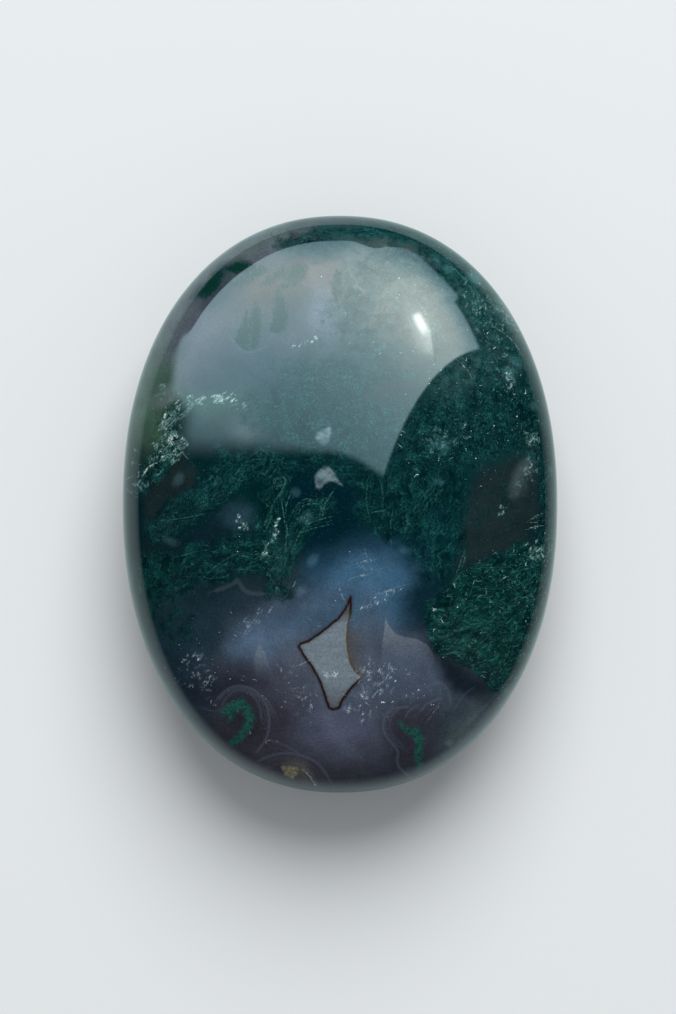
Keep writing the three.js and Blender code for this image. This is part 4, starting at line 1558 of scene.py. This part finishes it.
@dataclass
class SoftboxGlow(Finish):
    """The light of the softbox dome: a wide bright cloth with cut edges, and a lamp behind it.

    way is the direction from the stone, whose parts are x, y and z. middle is the lamp's own.
    """

    name: str = "softbox_glow"
    strength: float = 21.7
    middle: Spot = (0.338, 0.566)
    way: Socket | None = None
    x: Socket | None = None
    y: Socket | None = None
    z: Socket | None = None

    def make(self) -> bpy.types.Material:
        """Builds the material.

        Returns:
            The material.
        """
        self.way = self.vector("NORMALIZE", self.object_place())
        self.x, self.y, self.z = self.parts(self.way)
        side = self.side_edge()
        edges = (self.eased(*self.sill()), self.near_edge(), self.eased(side, 1.11, 1.08), self.notch())
        lit = self.product(*edges)
        level = self.level(self.eased(side, 1.11, 0.95, 0.35))
        core, tail = self.lamp()
        total = self.total(level, self.total(core, tail))
        cool = self.eased(level, 0.06, 0.38)
        tone = self.over((0.58, 1.0, 1.16, 1.0), (0.86, 1.0, 0.97, 1.0), cool)
        warmth = self.maths("MAXIMUM", core, tail, clamp=True)
        tone = self.over(tone, (1.0, 0.98, 0.92, 1.0), warmth)
        fed = {"Color": tone, "Strength": self.product(lit, total, self.strength)}
        self.material.cycles.emission_sampling = "NONE"
        return self.close(self.node("Emission", fed))

    def aside(self, x: float, y: float) -> Socket:
        """The direction as seen from above, measured from a place there."""
        return self.vector("MULTIPLY_ADD", self.way, (1, 1, 0), (-x, -y, 0))

    def sill(self) -> tuple[Socket, Socket, Socket]:
        """The cloth's lower hem at the left and its edge at the right.

        Returns:
            How far inside both it is, and where the soft edge starts and ends.
        """
        x, y, z = self.x, self.y, self.z
        hem = self.total(self.maths("SUBTRACT", z, 0.25), self.eased(x, 0.24, 0.34, 0.09))
        hem = self.maths("SUBTRACT", hem, self.eased(x, -0.3, -0.5, 0.02))
        hem = self.total(hem, self.eased(x, -0.79, -0.86, 0.12))
        dip = self.product(self.eased(x, 0.03, 0.14, 0.09), self.eased(x, 0.25, 0.16))
        hem = self.maths("SUBTRACT", hem, dip)
        edge = self.total(self.tuned(x, 1.5, self.eased(y, 0.34, 0.22, -0.2)), 1.31)
        soft = self.total(self.eased(y, 0.36, 0.22, 0.1), self.eased(x, -0.79, -0.86, 0.04), 0.012)
        return self.maths("SMOOTH_MIN", hem, edge, 0.12), self.product(soft, -1.0), soft

    def near_edge(self) -> Socket:
        """The cloth's near edge, which bends at the middle.

        Returns:
            1 on the cloth and 0 nearer the middle.
        """
        west = self.maths("MINIMUM", self.x, 0.0)
        near = self.tuned(self.most(self.x, 0.0), 0.35, self.maths("SUBTRACT", self.y, 0.103))
        near = self.tuned(west, 0.05, near)
        near = self.maths("DIVIDE", near, self.tuned(west, -4.0, 1.0))
        return self.eased(near, -0.012, 0.012)

    def side_edge(self) -> Socket:
        """How far to the upper right it is, from the bowed and stepped edge of the cloth.

        Returns:
            The distance, which is about 1.1 at the edge.
        """
        bow = self.maths("SUBTRACT", self.y, 0.65)
        side = self.tuned(self.product(bow, bow), 1.1, self.tuned(self.y, 0.758, self.x))
        return self.maths("SUBTRACT", side, self.eased(self.y, 0.65, 0.69, 0.055))

    def notch(self) -> Socket:
        """0 in the round bite out of the cloth at the right, and 1 elsewhere."""
        return self.eased(self.vector("LENGTH", self.aside(0.9, -0.405)), 0.88, 0.89)

    def level(self, dimmer: Socket) -> Socket:
        """How bright the cloth is.

        Args:
            dimmer: How far it is from the side edge, from 0 to 0.35.

        Returns:
            The brightness.
        """
        level = self.tuned(self.maths("MAXIMUM", self.x, -0.12), 0.18, self.tuned(self.y, 0.29, 0.07))
        level = self.maths("MINIMUM", level, 0.34)
        high = self.tuned(self.z, 1.35, self.product(self.maths("MINIMUM", self.x, 0.0), -0.5))
        high = self.maths("MINIMUM", high, 1.0)
        warm = self.vector("LENGTH", self.aside(0.36, 0.56))
        level = self.product(level, high, self.total(dimmer, 0.65))
        return self.total(level, self.eased(warm, 0.34, 0.0, 0.1))

    def lamp(self) -> tuple[Socket, Socket]:
        """The lamp behind the cloth: a slanted bright core with a halo, and a faint tail.

        Returns:
            The brightness of the core and of the tail.
        """
        x, y = self.x, self.y
        lamp = self.aside(*self.middle)
        along = self.vector("DOT_PRODUCT", lamp, (0.435, -0.9, 0))
        across = self.maths("ABSOLUTE", self.vector("DOT_PRODUCT", lamp, (0.9, 0.435, 0)))
        length = self.product(self.eased(along, -0.012, 0.02), self.eased(along, 0.115, 0.05))
        core = self.product(self.eased(across, 0.042, 0.006, 0.6), length)
        halo = self.vector("LENGTH", self.vector("ADD", lamp, (-0.02, 0.035, 0)))
        core = self.total(core, self.eased(halo, 0.11, 0.0, 0.09))
        width = self.product(self.eased(x, 0.415, 0.4), self.eased(x, 0.27, 0.4, 0.21))
        height = self.product(self.eased(y, 0.38, 0.43), self.eased(y, 0.56, 0.47))
        return core, self.product(width, height)


@dataclass
class Studio:
    """The pale floor, the soft lights and the camera. Sizes are in metres.

    The mirrored part of the floor lies just above the rest, and its paint darkens over its own reach:
    painted shade in what the polish mirrors.
    """

    girdle_height: float
    floor_half: float = 2.0
    mirrored_low: Spot = (-0.2, -0.2)
    mirrored_high: Spot = (0.075, 0.070)
    mirrored_height: float = 0.00002
    # Between these distances from the stone the mirrored floor's paint darkens: painted shade
    mirrored_shade_reach: Spot = (0.04, 0.19)
    dome_radius: float = 1.5
    dome_rim: float = 0.02
    key_place: tuple[float, float, float] = (0.12, 0.9, 0.95)
    key_size: float = 1.1
    key_watts: float = 18.0
    fill_strength: float = 0.36
    fill_colour: tuple[float, ...] = (0.95, 0.98, 1.0, 1.0)
    camera_distance: float = 0.40
    framed_height: float = 0.1055
    framed_middle: Spot = (-0.00021, -0.00029)

    def lay_sheet(self, name: str, low: Spot, high: Spot, height: float) -> bpy.types.Object:
        """Lays a flat sheet.

        Args:
            name: The sheet's name.
            low: Its corner with the smallest X and Y.
            high: Its opposite corner.
            height: How high it lies.

        Returns:
            The sheet's object.
        """
        sheet = bmesh.new()
        verts = bmesh.ops.create_grid(sheet, x_segments=1, y_segments=1, size=0.5)["verts"]
        bmesh.ops.scale(sheet, verts=verts, vec=(high[0] - low[0], high[1] - low[1], 1))
        middle = ((low[0] + high[0]) / 2, (low[1] + high[1]) / 2, height)
        bmesh.ops.translate(sheet, verts=verts, vec=middle)
        return self.stage(name, sheet)

    def stage(self, name: str, shape: bmesh.types.BMesh) -> bpy.types.Object:
        """Makes a shape an object of the scene, for use in the studio.

        Args:
            name: The object's name.
            shape: Its shape.

        Returns:
            The object.
        """
        made = set_out(name, shape)
        return made

    def lay_floor(self) -> bpy.types.Object:
        """Lays the pale floor, and the nearby part of it that the polish mirrors.

        Returns:
            The floor's object.
        """
        half = self.floor_half
        floor = self.lay_sheet("pale_floor", (-half, -half), (half, half), 0.0)
        floor.visible_glossy = False
        floor.data.materials.append(PalePaint(floor.name).make())
        corners = (self.mirrored_low, self.mirrored_high)
        mirrored = self.lay_sheet("mirrored_floor", *corners, self.mirrored_height)
        self.show_in_polish_only(mirrored)
        mirrored.data.materials.append(PalePaint(mirrored.name, self.mirrored_shade_reach).make())
        return floor

    def show_in_polish_only(self, thing: bpy.types.Object) -> None:
        """Lets an object be seen only where something glossy mirrors it."""
        for kind in ("camera", "diffuse", "transmission", "shadow"):
            setattr(thing, f"visible_{kind}", False)

    def hang_dome(self) -> bpy.types.Object:
        """Hangs the bright softbox dome that the polish mirrors.

        Returns:
            The dome's object.
        """
        shell = bmesh.new()
        bmesh.ops.create_icosphere(shell, subdivisions=4, radius=self.dome_radius)
        whole = shell.verts[:] + shell.edges[:] + shell.faces[:]
        low = (0, 0, self.dome_rim)
        bmesh.ops.bisect_plane(shell, geom=whole, plane_co=low, plane_no=(0, 0, 1), clear_inner=True)
        dome = self.stage("softbox_dome", shell)
        dome.data.materials.append(SoftboxGlow().make())
        self.show_in_polish_only(dome)
        return dome

    def light(self) -> None:
        """Sets the soft key light and the plain fill."""
        key = bpy.data.lights.new("soft_key", "AREA")
        key.shape = "DISK"
        key.size = self.key_size
        key.energy = self.key_watts
        hung = bpy.data.objects.new("soft_key", key)
        hung.location = self.key_place
        aim = Vector((0, 0, self.girdle_height)) - hung.location
        hung.rotation_euler = aim.to_track_quat("-Z", "Y").to_euler()
        hung.visible_glossy = False
        bpy.context.scene.collection.objects.link(hung)
        world = bpy.data.worlds.new("plain_fill")
        world.use_nodes = True
        fill = world.node_tree.nodes["Background"]
        fill.inputs["Color"].default_value = self.fill_colour
        fill.inputs["Strength"].default_value = self.fill_strength
        world.cycles_visibility.glossy = False
        bpy.context.scene.world = world

    def aim_camera(self) -> None:
        """Sets the camera straight above the stone."""
        lens = bpy.data.cameras.new("camera")
        lens.lens = lens.sensor_width * self.camera_distance / self.framed_height
        lens.clip_start = 0.01
        lens.clip_end = 20.0
        camera = bpy.data.objects.new("camera", lens)
        camera.location = (*self.framed_middle, self.girdle_height + self.camera_distance)
        bpy.context.scene.collection.objects.link(camera)
        bpy.context.scene.camera = camera


def main() -> None:
    """Builds the stone and its studio, and reports each piece."""
    logging.basicConfig(level=logging.INFO, format="%(name)s: %(message)s")
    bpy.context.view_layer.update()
    low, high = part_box(STONE_NODE)
    size = Vector(high) - Vector(low)

    stone = PalmStone(size.x, size.y, size.z)
    stone.build()
    stone.paint()
    stone.dress(PolishedMossAgate())
    log.info("%s has %d faces", stone.piece.name, len(stone.piece.data.polygons))

    studio = Studio(stone.girdle_height)
    log.info("%s is laid", studio.lay_floor().name)
    log.info("%s is hung", studio.hang_dome().name)
    studio.light()
    studio.aim_camera()
    bpy.context.scene.view_settings.view_transform = "Standard"


if __name__ == "__main__":
    main()
